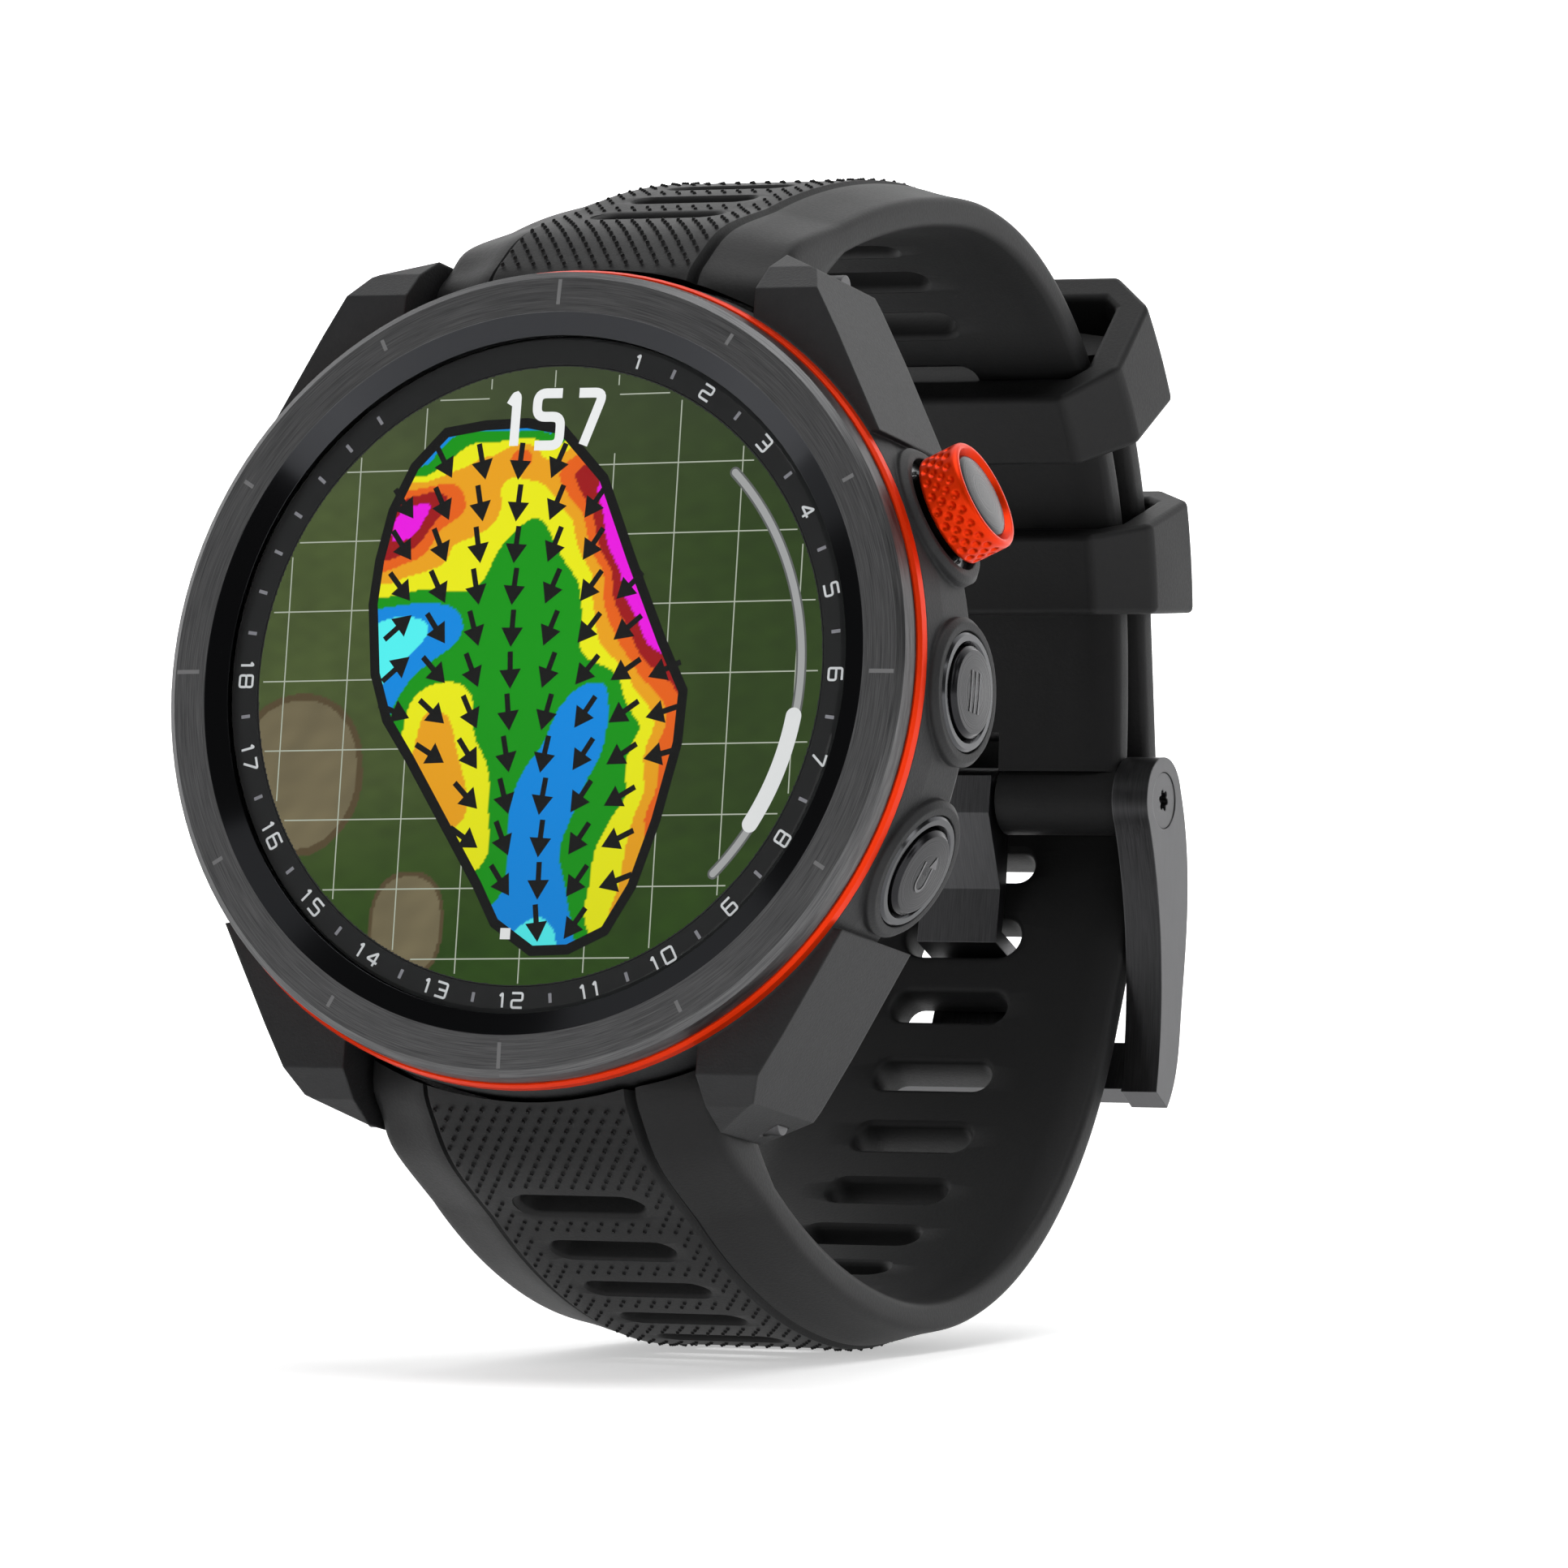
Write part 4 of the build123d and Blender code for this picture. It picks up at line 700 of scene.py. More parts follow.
PIN_BORE_R, ACROSS_ALL = 0.75, 12.0        # ACROSS_ALL is more than half the strap's width
NOTCH_ABOVE_AXLE, NOTCH_HALF_HEIGHT = 0.6, 3.3
CREASE = 38    # degrees
CLEAR_OF_CASE = [(0, 0), (23.5, 0), (24.4, 2.45), (24.4, 8.2), (22.7, 11.8), (22.1, 12.6),
                 (22.1, 13.6), (0, 13.6)]
for name, side, half in (("short", 1, SHORT), ("long", -1, LONG)):
    spools = []
    for number in range(SLOT_COUNTS[name]):
        distance = SLOT_START + SLOT_PITCH * number
        tall = name == "long" and number == PIN_HOLE
        spools.append(spool(half, distance, side, PIN_HOLE_HEIGHT if tall else SLOT_HEIGHT,
                            RIM if number else BLIND_RIM))
    if name == "short":
        carve(straps[name], joined("barrel", [rod(AXLE_AT, BARREL_R, STRAP_HALF)]), "UNION")
    carve(straps[name], joined("clear", [lathe(CLEAR_OF_CASE)]))
    carve(straps[name], joined("spools", spools))
    carve(straps[name], joined("bore", [
        rod((PIN_AT[0], PIN_AT[1] * side), PIN_BORE_R, ACROSS_ALL)]))
notch_middle = AXLE_AT[1] + NOTCH_ABOVE_AXLE
carve(straps["short"], joined("notch", [block(
    (-NOTCH_HALF, AXLE_AT[0] - 2 * BARREL_R, notch_middle - NOTCH_HALF_HEIGHT),
    (NOTCH_HALF, AXLE_AT[0] + 2 * BARREL_R, notch_middle + NOTCH_HALF_HEIGHT))]))
carve(straps["short"], joined("bore", [rod(AXLE_AT, AXLE_R + 0.05, ACROSS_ALL)]))
for name, piece in straps.items():
    tidy(piece.data)
    paint(piece, silicone_finish)
    shade_by_angle(piece, CREASE)
    settle(piece, "watch", "silicone", f"strap_{name}")

# %% [markdown]
# The panel's grip is a field of small raised dots in staggered rows. A dot is a low dome of
# nineteen faces, and all of them are placed at once by adding a table of middles to one dome.

# %% Dots on the strap
DOT_ACROSS, DOT_ALONG = 1.0, 0.74
DOT_SIZE = (0.135, 0.165)
DOT_EDGE = 0.35                          # bare border beside the panel's edge
DOT_CLEAR_ALONG, DOT_CLEAR_ACROSS = 1.75, 0.75    # bare border round a slot
DIAL_BACK, FLAT_END = 13, 40             # depths: behind the case, and where the last dots are cut


def dome():
    """Points (across, along, up from 0 to 1) and faces of a closed six-sided dome."""
    turn = np.radians(np.arange(0, 360, 60))
    ring = np.stack([np.cos(turn), np.sin(turn)], -1)
    levels = [(1.0, -0.5), (0.95, 0.25), (0.6, 0.8)]
    points = [np.column_stack([ring * size, np.full(6, up)]) for size, up in levels]
    points = np.concatenate([*points, [[0, 0, 1.0]]])
    tip = len(points) - 1
    faces = grid_faces(3, 6, round_columns=True)
    faces += [[12 + i, 12 + (i + 1) % 6, tip] for i in range(6)] + [[5, 4, 3, 2, 1, 0]]
    return points, faces


def dots_on(name, half, side, last):
    """Middles = panel line at even steps along it, and even steps across it, with every other
    row moved half a step, none over a slot, and none past the distance last."""
    _, panel, _ = strap_lines(half, side)
    length = np.concatenate([[0], np.cumsum(np.linalg.norm(np.diff(panel, axis=0), axis=1))])
    rows = np.arange(0.4, length[-1] - 0.8, DOT_ALONG)
    middle = np.stack([np.interp(rows, length, panel[:, axis]) for axis in (0, 1)], -1)
    nearby = np.stack([np.interp(rows + 0.1, length, panel[:, axis]) for axis in (0, 1)], -1)
    along = (nearby - middle) / np.linalg.norm(nearby - middle, axis=1)[:, None]
    out = np.stack([-along[:, 1], along[:, 0]], -1) * side
    columns = np.arange(-6, 7)
    row, column = np.meshgrid(np.arange(len(rows)), columns, indexing="ij")
    across = DOT_ACROSS * (column + 0.5 * (row % 2))
    keep = np.abs(across) < PANEL_HALF - DOT_EDGE
    for number in range(SLOT_COUNTS[name]):
        point, ahead_now, slot_out = station(half, SLOT_START + SLOT_PITCH * number, side)
        offset = middle - point
        near = (np.abs(offset @ ahead_now) < DOT_CLEAR_ALONG) & (offset @ slot_out > 0)
        keep &= ~(near[:, None] & (np.abs(across) < SLOT_HALF + DOT_CLEAR_ACROSS))
    clear = ~((middle[:, 0] < DIAL_BACK) & (np.abs(middle[:, 1]) < CASE_R + 0.55))
    end, ahead_at_end, _ = station(half, last, side)
    before = (middle - end) @ ahead_at_end < 0
    keep &= (clear & (before | (middle[:, 0] < FLAT_END)))[:, None]
    points, faces = dome()
    row, across = row[keep], across[keep]
    flat = (middle[row][:, None] + (points[:, 1] * DOT_SIZE[1])[None, :, None] * along[row][:, None]
            + ((points[:, 2] - 1) * DOT_RISE)[None, :, None] * out[row][:, None])
    wide = across[:, None] + points[:, 0] * DOT_SIZE[0]
    place = at(wide, flat[..., 0], flat[..., 1])
    count = len(points)
    all_faces = [[i * count + corner for corner in face] for i in range(len(row)) for face in faces]
    piece = piece_from(f"strap_{name}_dots", place, all_faces, silicone_finish, closed=False)
    settle(piece, "watch", "silicone")


dots_on("short", SHORT, 1, 36.0)
dots_on("long", LONG, -1, LONG[0][-1] - 2.0)

# %% [markdown]
# A keeper is a wide ring of silicone round both halves of the strap. Its ring is an outline of
# eight corners, one inside the other, carried round the bend's centre over its length. A Bevel
# modifier rounds every edge.

# %% Keepers
KEEPER_WALL, KEEPER_CORNER = 2.2, 3.0
STACK = (BEND_R - GAP, BEND_R + 2 * STRAP_THICK + 2 * GAP)


def eight_corners(half, low, high, corner):
    """An octagon of (across, radius): a rectangle with its corners cut."""
    side = [(half, low + corner), (half, high - corner), (half - corner, high)]
    return np.array([(half - corner, low), *side, (corner - half, high), (-half, high - corner),
                     (-half, low + corner), (corner - half, low)])


def keeper(which, body):
    """Two outlines, one inside the other, turned about the bend's centre over the keeper's
    length: point = centre + radius * (cos(angle), sin(angle))."""
    span = math.degrees(KEEPER_LENGTH / (BEND_R + STRAP_THICK + GAP / 2))
    angle = KEEPER_ANGLES[which] + np.linspace(-span / 2, span / 2, 9)
    inner_half = STRAP_HALF + GAP
    outlines = np.concatenate([
        eight_corners(inner_half + KEEPER_WALL, STACK[0] - KEEPER_WALL, STACK[1] + KEEPER_WALL,
                      KEEPER_CORNER),
        eight_corners(inner_half, *STACK, 0.9)])
    flat = HUB + outlines[None, :, 1:] * heading_vector(angle)[:, None]
    points = at(outlines[:, 0], flat[..., 0], flat[..., 1])
    rows = len(angle)
    faces = []
    for i in range(8):
        j = (i + 1) % 8
        for row in range(rows - 1):
            a, b = row * 16, (row + 1) * 16
            faces += [[a + i, a + j, b + j, b + i], [a + 8 + i, b + 8 + i, b + 8 + j, a + 8 + j]]
        for a in (0, (rows - 1) * 16):
            faces.append([a + i, a + j, a + 8 + j, a + 8 + i])
    piece = piece_from(f"keeper_{which}_shape", points, faces, silicone_finish)
    bevel = piece.modifiers.new("rounding", "BEVEL")
    bevel.width, bevel.segments, bevel.angle_limit = 0.00042, 4, math.radians(25)
    bevel.harden_normals = True
    settle(piece, body, "silicone", f"keeper_{which}")


keeper("lower", BODY_OF["keeper_lower"])
keeper("upper", BODY_OF["keeper_upper"])

# %% [markdown]
# The start button wears a ring with four staggered rows of round dimples, so that it can be
# found by touch. It is a turned outline whose radius dips under each dimple, with a curve of the
# distance to the nearest dimple's middle that has a flat bottom and steep sides. The cap inside
# the ring gets a softly rounded face that lies over the CAD cap's flat one.

# %% Dimpled grip
BOSS_REACH, CAP_R = CASE_R + 0.4, 2.65
GRIP_R, GRIP_LOW, GRIP_HIGH = CAP_R + 0.65, BOSS_REACH + 0.25, BOSS_REACH + 2.8
DIMPLES, DIMPLE_ROWS, DIMPLE_R, DIMPLE_DEEP = 22, 4, 0.2, 0.17
GRIP_INNER = [(CAP_R + 0.13, BOSS_REACH + 1.7), (CAP_R + 0.03, BOSS_REACH + 1.68),
              (CAP_R + 0.03, GRIP_LOW + 0.8), (CAP_R + 0.08, GRIP_LOW + 0.7)]


def button_place(name, across, along, reach):
    """A point from its place round a button: across is into the dial's face direction, and
    along is square to it; reach is the distance from the dial's axis."""
    angle = math.radians(BUTTON_ANGLES[name])
    out = reach * math.sin(angle) + along * math.cos(angle)
    height = reach * math.cos(angle) - along * math.sin(angle)
    return at(out, BUTTON_DEPTH - across, height)


def dimpled_grip():
    """Radius = ring's radius - depth * exp(-(distance to the dimple / size)^4)."""
    turn = np.linspace(0, 2 * math.pi, DIMPLES * 14, endpoint=False)
    reach = np.linspace(GRIP_LOW + 0.22, GRIP_HIGH - 0.42, 34)
    row_pitch = (GRIP_HIGH - GRIP_LOW - 0.72) / DIMPLE_ROWS
    row = np.clip(np.floor((reach - GRIP_LOW - 0.26) / row_pitch), 0, DIMPLE_ROWS - 1)
    from_row = reach - (GRIP_LOW + 0.26 + (row + 0.5) * row_pitch)
    step = 2 * math.pi / DIMPLES
    shifted = turn[None] / step + 0.5 * (row[:, None] % 2)
    from_middle = (shifted - np.round(shifted)) * step * GRIP_R
    gap = np.hypot(from_middle, from_row[:, None])
    radius = GRIP_R - DIMPLE_DEEP * np.exp(-(gap / DIMPLE_R) ** 4)
    edge = [(CAP_R + 0.25, GRIP_LOW + 0.35), (GRIP_R - 0.26, GRIP_LOW),
            (GRIP_R - 0.1, GRIP_LOW + 0.03), (GRIP_R - 0.02, GRIP_LOW + 0.12)]
    lip = [(GRIP_R, GRIP_HIGH - 0.36), (GRIP_R - 0.02, GRIP_HIGH - 0.2),
           (GRIP_R - 0.1, GRIP_HIGH - 0.08), (GRIP_R - 0.2, GRIP_HIGH),
           (CAP_R + 0.3, GRIP_HIGH), (CAP_R + 0.2, GRIP_HIGH - 0.08)]
    rows = [np.full(len(turn), r) for r, _ in edge] + list(radius)
    rows += [np.full(len(turn), r) for r, _ in lip + GRIP_INNER]
    reaches = [h for _, h in edge] + list(reach) + [h for _, h in lip + GRIP_INNER]
    rows, reaches = np.array(rows), np.array(reaches)[:, None]
    points = button_place("start", rows * np.cos(turn), rows * np.sin(turn), reaches)
    faces = grid_faces(len(rows), len(turn), round_rows=True, round_columns=True)
    piece = piece_from("start_grip_dimpled", points, faces, accent_finish)
    settle(piece, BODY_OF["start_grip"], "accent", "start_grip")


dimpled_grip()
CAP_OUTLINE = [(0.0, 2.62), (1.2, 2.61), (2.2, 2.56), (2.42, 2.5), (2.55, 2.36), (2.6, 2.2),
               (2.6, 0.4)]
CAP_LOW = GRIP_HIGH - 2.68
CAP_SIDES = 96


def turned_cap(name, outline, low):
    """An outline of (radius, reach above the lowest point) turned about the button's axis."""
    radius, reach = np.array(outline).T
    turn = np.linspace(0, 2 * math.pi, CAP_SIDES, endpoint=False)
    points = button_place(name, radius[:, None] * np.cos(turn), radius[:, None] * np.sin(turn),
                          (low + reach)[:, None])
    faces = grid_faces(len(radius), CAP_SIDES, round_columns=True)
    faces.append([(len(radius) - 1) * CAP_SIDES + i for i in range(CAP_SIDES)])
    piece = piece_from(f"{name}_cap_face", points, faces, cap_finishes[name])
    settle(piece, BODY_OF[f"{name}_cap"], "cap")


turned_cap("start", CAP_OUTLINE, CAP_LOW)

# %% [markdown]
# The buckle's frame keeps its CAD shape, but a pressed part has no sharp edge. Its mesh is
# copied, the loose triangles are merged, and a Bevel modifier rounds each edge that turns by
# more than an angle. The case's edges are rounded in shading only, by its finish.

# %% Rounded copy of the buckle's frame
def rounded_copy(node, width, segments=3, angle=30):
    """A merged copy of a node's mesh, with its sharp edges rounded; it stands for the node."""
    mesh = NODES[node].data.copy()
    mesh.name = f"{node}_rounded"
    tidy(mesh, 0.000001)
    piece = bpy.data.objects.new(f"{node}_rounded", mesh)
    bpy.context.scene.collection.objects.link(piece)
    shade_by_angle(piece, angle)
    bevel = piece.modifiers.new("rounding", "BEVEL")
    bevel.width, bevel.segments, bevel.angle_limit = width, segments, math.radians(angle)
    bevel.harden_normals = True
    settle(piece, BODY_OF[node], SLOT_OF[node], node)


rounded_copy("buckle_frame", 0.00035)

# %% [markdown]
# Marks on the bezel and on the printed ring are flat shapes a few microns above their surface:
# a short bar at each hour of the bezel, bars between the numbers, and the numbers 1 to 18, each
# drawn with strokes of even width. The first nine have their tops outwards, the rest inwards.

# %% Flat marks
def print_finish(name, color, glow=(1.0, 1.0, 1.0), strength=0.0):
    """Matte paint with a fine noise in its roughness. Print under the glass may get a little
    emission: painted light that makes it brighter than its paint.
    """
    finish = Finish(name, color, Specular_IOR_Level=0.2, Emission_Strength=strength)
    finish.set("Emission Color", (*glow, 1.0))
    finish.set("Roughness", 0.5 + finish.noise(4000, 2.0) * 0.15)
    return finish


ENGRAVED_FINISH = print_finish("engraved_bar", (0.17, 0.17, 0.172))
# The ring's pale numbers and dim bars glow a little: painted light, since print gives none of its
# own.
PAINTED_GLOW_MARK_FINISH = print_finish("pale_print_painted_glow", (0.5, 0.5, 0.51), (0.9, 0.9, 0.92), 0.28)
PAINTED_GLOW_BAR_FINISH = print_finish("dim_print_painted_glow", (0.2, 0.195, 0.215), (0.9, 0.88, 0.95), 0.09)
SCALE_DEPTH, NUMBER_R = 1.07, 18.92


def on_clock(angle, radius, along, out):
    """(across, height) of a point beside a radius: out is outwards and along is clockwise."""
    angle = np.radians(angle)
    return ((radius + out) * np.sin(angle) + along * np.cos(angle),
            (radius + out) * np.cos(angle) - along * np.sin(angle))


def bars(name, angles, radius, length, width, depth_of, body, slot, finish):
    """Flat bars that point outwards, with their corners worked out for all angles at once:
    corner = radius + half the length either way out, and half the width either way along."""
    angles = np.array(angles, float)[:, None]
    length = np.broadcast_to(np.array(length), angles.shape[:1])[:, None]
    out = np.array([-0.5, 0.5, 0.5, -0.5]) * length
    along = np.array([-0.5, -0.5, 0.5, 0.5]) * width
    across, height = on_clock(angles, radius, along, out)
    points = at(across, depth_of(radius + out), height)
    faces = np.arange(points.size // 3).reshape(-1, 4).tolist()
    settle(piece_from(name, points, faces, finish, smooth=False, closed=False), body, slot)


def bezel_depth(radius):
    """Just in front of the bezel's band, which falls by 0.12 mm over 2 mm."""
    return (radius - BEZEL_INNER_R) * 0.12 / 2.0 - 0.008


def scale_depth(radius):
    """The printed ring is flat."""
    return SCALE_DEPTH + 0 * radius


BEZEL_BAR_R, LONG_BAR, SHORT_BAR = 22.25, 1.5, 0.72
hours = np.arange(0, 360, 30)
bars("bezel_bars", hours, BEZEL_BAR_R, np.where(hours % 90 == 0, LONG_BAR, SHORT_BAR), 0.24,
     bezel_depth, "watch", "bezel", ENGRAVED_FINISH)
# The last seven fill the ring's upper left, where no number stands.
between = [15 * n + 7.5 for n in range(1, 18)] + [277.5, 285, 292.5, 300, 307.5, 315, 322.5]
bars("scale_bars", between, NUMBER_R, 0.56, 0.2, scale_depth, "watch", "scale", PAINTED_GLOW_BAR_FINISH)


STROKES = {   # figure: lines of corners (across, up) in a box one wide and one high
    "0": ["0,0 0,1 1,1 1,0 0,0"], "1": ["0.1,0.78 0.5,1 0.5,0"],
    "2": ["0,1 1,1 1,0.5 0,0.5 0,0 1,0"], "3": ["0,1 1,1 1,0 0,0", "0.25,0.5 1,0.5"],
    "4": ["0.8,0 0.8,1 0,0.3 1.1,0.3"], "5": ["1,1 0,1 0,0.55 1,0.55 1,0 0,0"],
    "6": ["1,1 0,1 0,0 1,0 1,0.55 0,0.55"], "7": ["0,1 1,1 0.3,0"],
    "8": ["0,0.5 0,1 1,1 1,0.5 0,0.5 0,0 1,0 1,0.5"], "9": ["1,0.45 0,0.45 0,1 1,1 1,0 0,0"]}


def softened(corners, radius):
    """A line with each inner corner cut back by a radius and bent by a quadratic curve:
    (1 - t)^2 * before + 2t(1 - t) * corner + t^2 * after."""
    line = [corners[:1]]
    t = np.linspace(0, 1, 7)[:, None]
    for before, corner, after in zip(corners[:-2], corners[1:-1], corners[2:]):
        into, away = before - corner, after - corner
        cut = min(radius, np.linalg.norm(into) / 2.2, np.linalg.norm(away) / 2.2)
        first = corner + into / np.linalg.norm(into) * cut
        last = corner + away / np.linalg.norm(away) * cut
        line.append((1 - t) ** 2 * first + 2 * t * (1 - t) * corner + t**2 * last)
    return np.concatenate([*line, corners[-1:]])


def unit(vectors):
    """Each vector divided by its length."""
    return vectors / np.maximum(np.linalg.norm(vectors, axis=1), 1e-9)[:, None]


def ribbon(line, width, closed=False):
    """A flat band along a line: each point moves half the width to both sides, square to the
    line there, and further at a corner, so that the width stays even."""
    before, after = np.roll(line, 1, 0), np.roll(line, -1, 0)
    if not closed:
        before[0], after[-1] = line[0], line[-1]
    ahead_in, ahead_out = unit(line - before), unit(after - line)
    along = unit(ahead_in + ahead_out)
    strongest = np.where(np.linalg.norm(ahead_in, axis=1)[:, None] > 0.5, ahead_in, ahead_out)
    stretch = 1 / np.maximum((along * strongest).sum(1), 0.5)
    square = np.stack([-along[:, 1], along[:, 0]], -1) * (stretch * width / 2)[:, None]
    points = np.stack([line - square, line + square], 1).reshape(-1, 2)
    return points, grid_faces(len(line), 2, round_rows=closed)


CORNER_SHARE, NARROW_ONE = 0.95, 0.62


def figures_from(text, height, width, stroke, space):
    """Figures drawn with one stroke of even width, side by side and centred."""
    shapes, left = [], 0.0
    size = np.array([width - stroke, height - stroke])
    for figure in text:
        narrow = NARROW_ONE if figure == "1" else 1.0
        for line in STROKES[figure]:
            corners = np.array([pair.split(",") for pair in line.split()], float)
            line = softened(corners * size * (narrow, 1), stroke * CORNER_SHARE)
            points, faces = ribbon(line, stroke)
            shapes.append((points + (left, 0), faces))
        left += width * narrow + space
    points, faces = gathered(shapes)
    return points - (points.max(0) + points.min(0)) / 2, faces


def numbers_on_ring():
    """The numbers 1 to 18, fifteen degrees apart, each square to its own radius."""
    shapes = []
    for number in range(1, 19):
        flat, faces = figures_from(str(number), 0.98, 0.82, 0.14, 0.3)
        turn = 1 if number <= 9 else -1
        across, height = on_clock(15.0 * number, NUMBER_R, flat[:, 0] * turn, flat[:, 1] * turn)
        shapes.append((at(across, SCALE_DEPTH, height), faces))
    piece = piece_from("scale_numbers", *gathered(shapes), PAINTED_GLOW_MARK_FINISH, smooth=False,
                       closed=False)
    settle(piece, "watch", "scale")


numbers_on_ring()

# %% [markdown]
# The lit picture shows a green from above: rough grass with a grid, two bunkers, and a slope map in
# bands of colour. The slope is a smooth surface through a few given heights, solved as a sum of
# cones round them, and a band's colour is looked up from that height. The colours are stored on the
# corners of a fine flat grid and shine through an emission.

# %% The lit picture
PICTURE_R = 18.05
PICTURE_AT = np.array([0.41, -0.15])    # the middle of the picture's own drawing
OUTLINE = np.array([(-7.5, 14.4), (-5.0, 14.8), (-2.3, 14.9), (0.0, 14.5), (2.9, 11.6), (5.1, 6.8),
                    (7.4, 2.1), (9.0, -0.8), (8.9, -3.8), (7.9, -8.3), (6.7, -12.1), (5.2, -14.7),
                    (2.9, -15.8), (0.6, -15.9), (-1.9, -14.3), (-3.2, -12.1), (-5.6, -8.6),
                    (-8.2, -4.8), (-9.9, -2.5), (-10.9, 0.2), (-11.4, 4.3), (-11.2, 6.9),
                    (-10.6, 9.8), (-9.4, 12.4)])
SLOPES = {   # level: places (across, height)
    0: [(-8.8, 2.8), (-10.3, 2.9), (1.1, -15.6), (-10.4, 0.9)],
    1: [(-9.6, 3.9), (-6.9, 2.2), (-9.9, -1.2), (2.6, -1.7), (2.9, -4.2), (0.6, -6.4), (-0.7, -8.4),
        (-0.3, -10.7), (-0.4, -13.1), (1.7, -12.6), (2.6, -14.6), (-6.6, 3.6), (-8.0, 1.2)],
    2: [(-2.1, 5.2), (-2.2, 7.2), (-4.3, 3.4), (-1.7, 1.6), (1.6, 3.6), (-5.1, 1.0), (-3.4, -3.1),
        (-0.8, -3.1), (1.1, -0.4), (4.4, -6.2), (5.2, -3.1), (2.9, -10.2), (-2.6, -12.2),
        (4.4, -0.1), (-2.6, -0.8), (-7.4, 0.1), (-4.9, 14.1), (-2.8, 14.2), (-7.2, 13.3),
        (-0.6, 13.8), (-9.4, -3.4), (-9.2, 4.6), (-2.2, -7.4), (-8.8, 12.1)],
    3: [(-8.5, 11.7), (-2.5, 10.4), (-4.2, 8.0), (-6.3, 5.6), (-9.8, 5.2), (2.9, 1.9), (-7.9, -1.6),
        (-4.0, -5.2), (5.6, -0.9), (6.9, -3.1), (6.5, -7.0), (5.0, -11.8), (4.4, -13.9),
        (-3.5, -9.8),
        (-4.6, -9.6), (2.3, 5.6), (0.7, 8.4), (-0.6, 10.2), (-5.2, 13.4), (-8.9, -5.0),
        (-5.2, -1.9)],
    4: [(-2.7, 12.1), (-5.5, 10.9), (-0.4, 12.0), (-7.0, 8.4), (-4.5, 9.6), (-9.8, 6.2),
        (-6.9, -3.3),
        (-7.0, -5.0), (-5.6, -6.4), (-5.4, -8.0), (4.4, 1.6), (1.4, 9.4), (3.1, 5.0), (7.4, -3.6),
        (6.8, -8.8)],
    5: [(-9.5, 7.0), (2.3, 8.8), (3.6, 6.1), (5.0, 2.4), (8.3, -3.6), (8.2, -1.2), (7.6, -8.0),
        (-6.6, 10.7), (0.5, 12.0), (6.4, 0.4), (-2.5, 13.0)],
    6: [(-11.0, 8.9), (-10.8, 7.3), (-8.2, 10.6), (2.2, 10.4), (7.3, 0.9), (4.3, 5.2), (-8.4, 8.8)],
    7: [(-9.6, 9.5), (4.2, 7.0), (5.4, 4.6), (6.7, 2.4), (3.6, 8.4), (-9.2, 8.9)],
}
BANDS = np.array([(84, 244, 244), (0, 138, 226), (12, 150, 12), (240, 238, 14), (240, 164, 22),
                  (236, 98, 18), (160, 14, 18), (240, 12, 228)]) / 255
GRASS = np.array([(72, 86, 44), (44, 64, 22), (38, 66, 12)]) / 255
SAND, SAND_EDGE = np.array([(112, 102, 76), (84, 70, 46)]) / 255


def linear(color):
    """Screen colour to light: (c + 0.055) / 1.055 to the power 2.4."""
    color = np.asarray(color, float)
    return np.where(color < 0.04045, color / 12.92, ((color + 0.055) / 1.055) ** 2.4)


def inside(points, polygon):
    """Whether each point is inside a polygon: an odd number of its edges lies to one side."""
    a, b = polygon, np.roll(polygon, -1, 0)
    x, y = points[..., 0, None], points[..., 1, None]
    crosses = (a[:, 1] > y) != (b[:, 1] > y)
    rise = np.where(b[:, 1] == a[:, 1], 1e-9, b[:, 1] - a[:, 1])
    edge_x = a[:, 0] + (y - a[:, 1]) / rise * (b[:, 0] - a[:, 0])
    return (crosses & (x < edge_x)).sum(-1) % 2 == 1


def slope_height(points):
    """Height = sum of weights * sqrt(distance^2 + 0.5) to the set places."""
    places = np.array([place for level in SLOPES.values() for place in level])
    levels = np.array([level for level, some in SLOPES.items() for _ in some], float)

    def cone(a):
        return np.sqrt(((a[..., None, :] - places) ** 2).sum(-1) + 0.5)

    weights = np.linalg.solve(cone(places) + 0.02 * np.eye(len(places)), levels - levels.mean())
    return cone(points) @ weights + levels.mean()


def mottle(points, seed, scale):
    """Smooth random light and shade: a sum of a dozen sine waves in random directions."""
    chance = np.random.default_rng(seed)
    wave = chance.normal(0, scale, (12, 2))
    return np.sin(points @ wave.T + chance.uniform(0, 6.28, 12)).mean(-1) * 1.7


def picture_colors(points):
    """Grass, then sand, then a painted grey sheen over the top, then the slope map, each painted
    over the one before.
    """
    x, y = points[:, 0], points[:, 1]
    fall = np.clip((x + 14) / 26, 0, 1)[:, None]
    color = GRASS[0] * (1 - fall) + GRASS[1] * fall
    low = np.clip((-6 - y) / 10, 0, 1)[:, None]
    color = color * (1 - low) + GRASS[2] * low
    color = color * (1 + 0.06 * mottle(points, 3, 1.2) + 0.05 * mottle(points, 5, 3.5))[:, None]
    for centre, size in (((-15.4, -5.7), (3.7, 4.3)), ((-7.6, -14.5), (2.2, 2.9))):
        wobble = 1 + 0.05 * mottle(points, 8, 0.6)
        far = (np.abs((points - centre) / size) ** 2.4).sum(-1) ** (1 / 2.4) * wobble
        color[far < 1.1] = SAND_EDGE
        sand = far < 1.0
        color[sand] = SAND * (1 + 0.07 * mottle(points[sand], 9, 1.6))[:, None]
    # Painted reflection: towards the top, the grass and sand fade to grey, a sheen of light on the
    # glass painted into the picture.
    top = np.clip((y - 8) / 10, 0, 1)[:, None]
    color = color * (1 - 0.35 * top) + 0.24 * 0.35 * top
    mapped = inside(points, OUTLINE)
    level = np.clip(np.round(slope_height(points[mapped])), 0, len(BANDS) - 1).astype(int)
    color[mapped] = BANDS[level] * (1 - 0.08 * np.clip(-y[mapped] / 16, 0, 1))[:, None]
    return linear(np.clip(color, 0, 1))


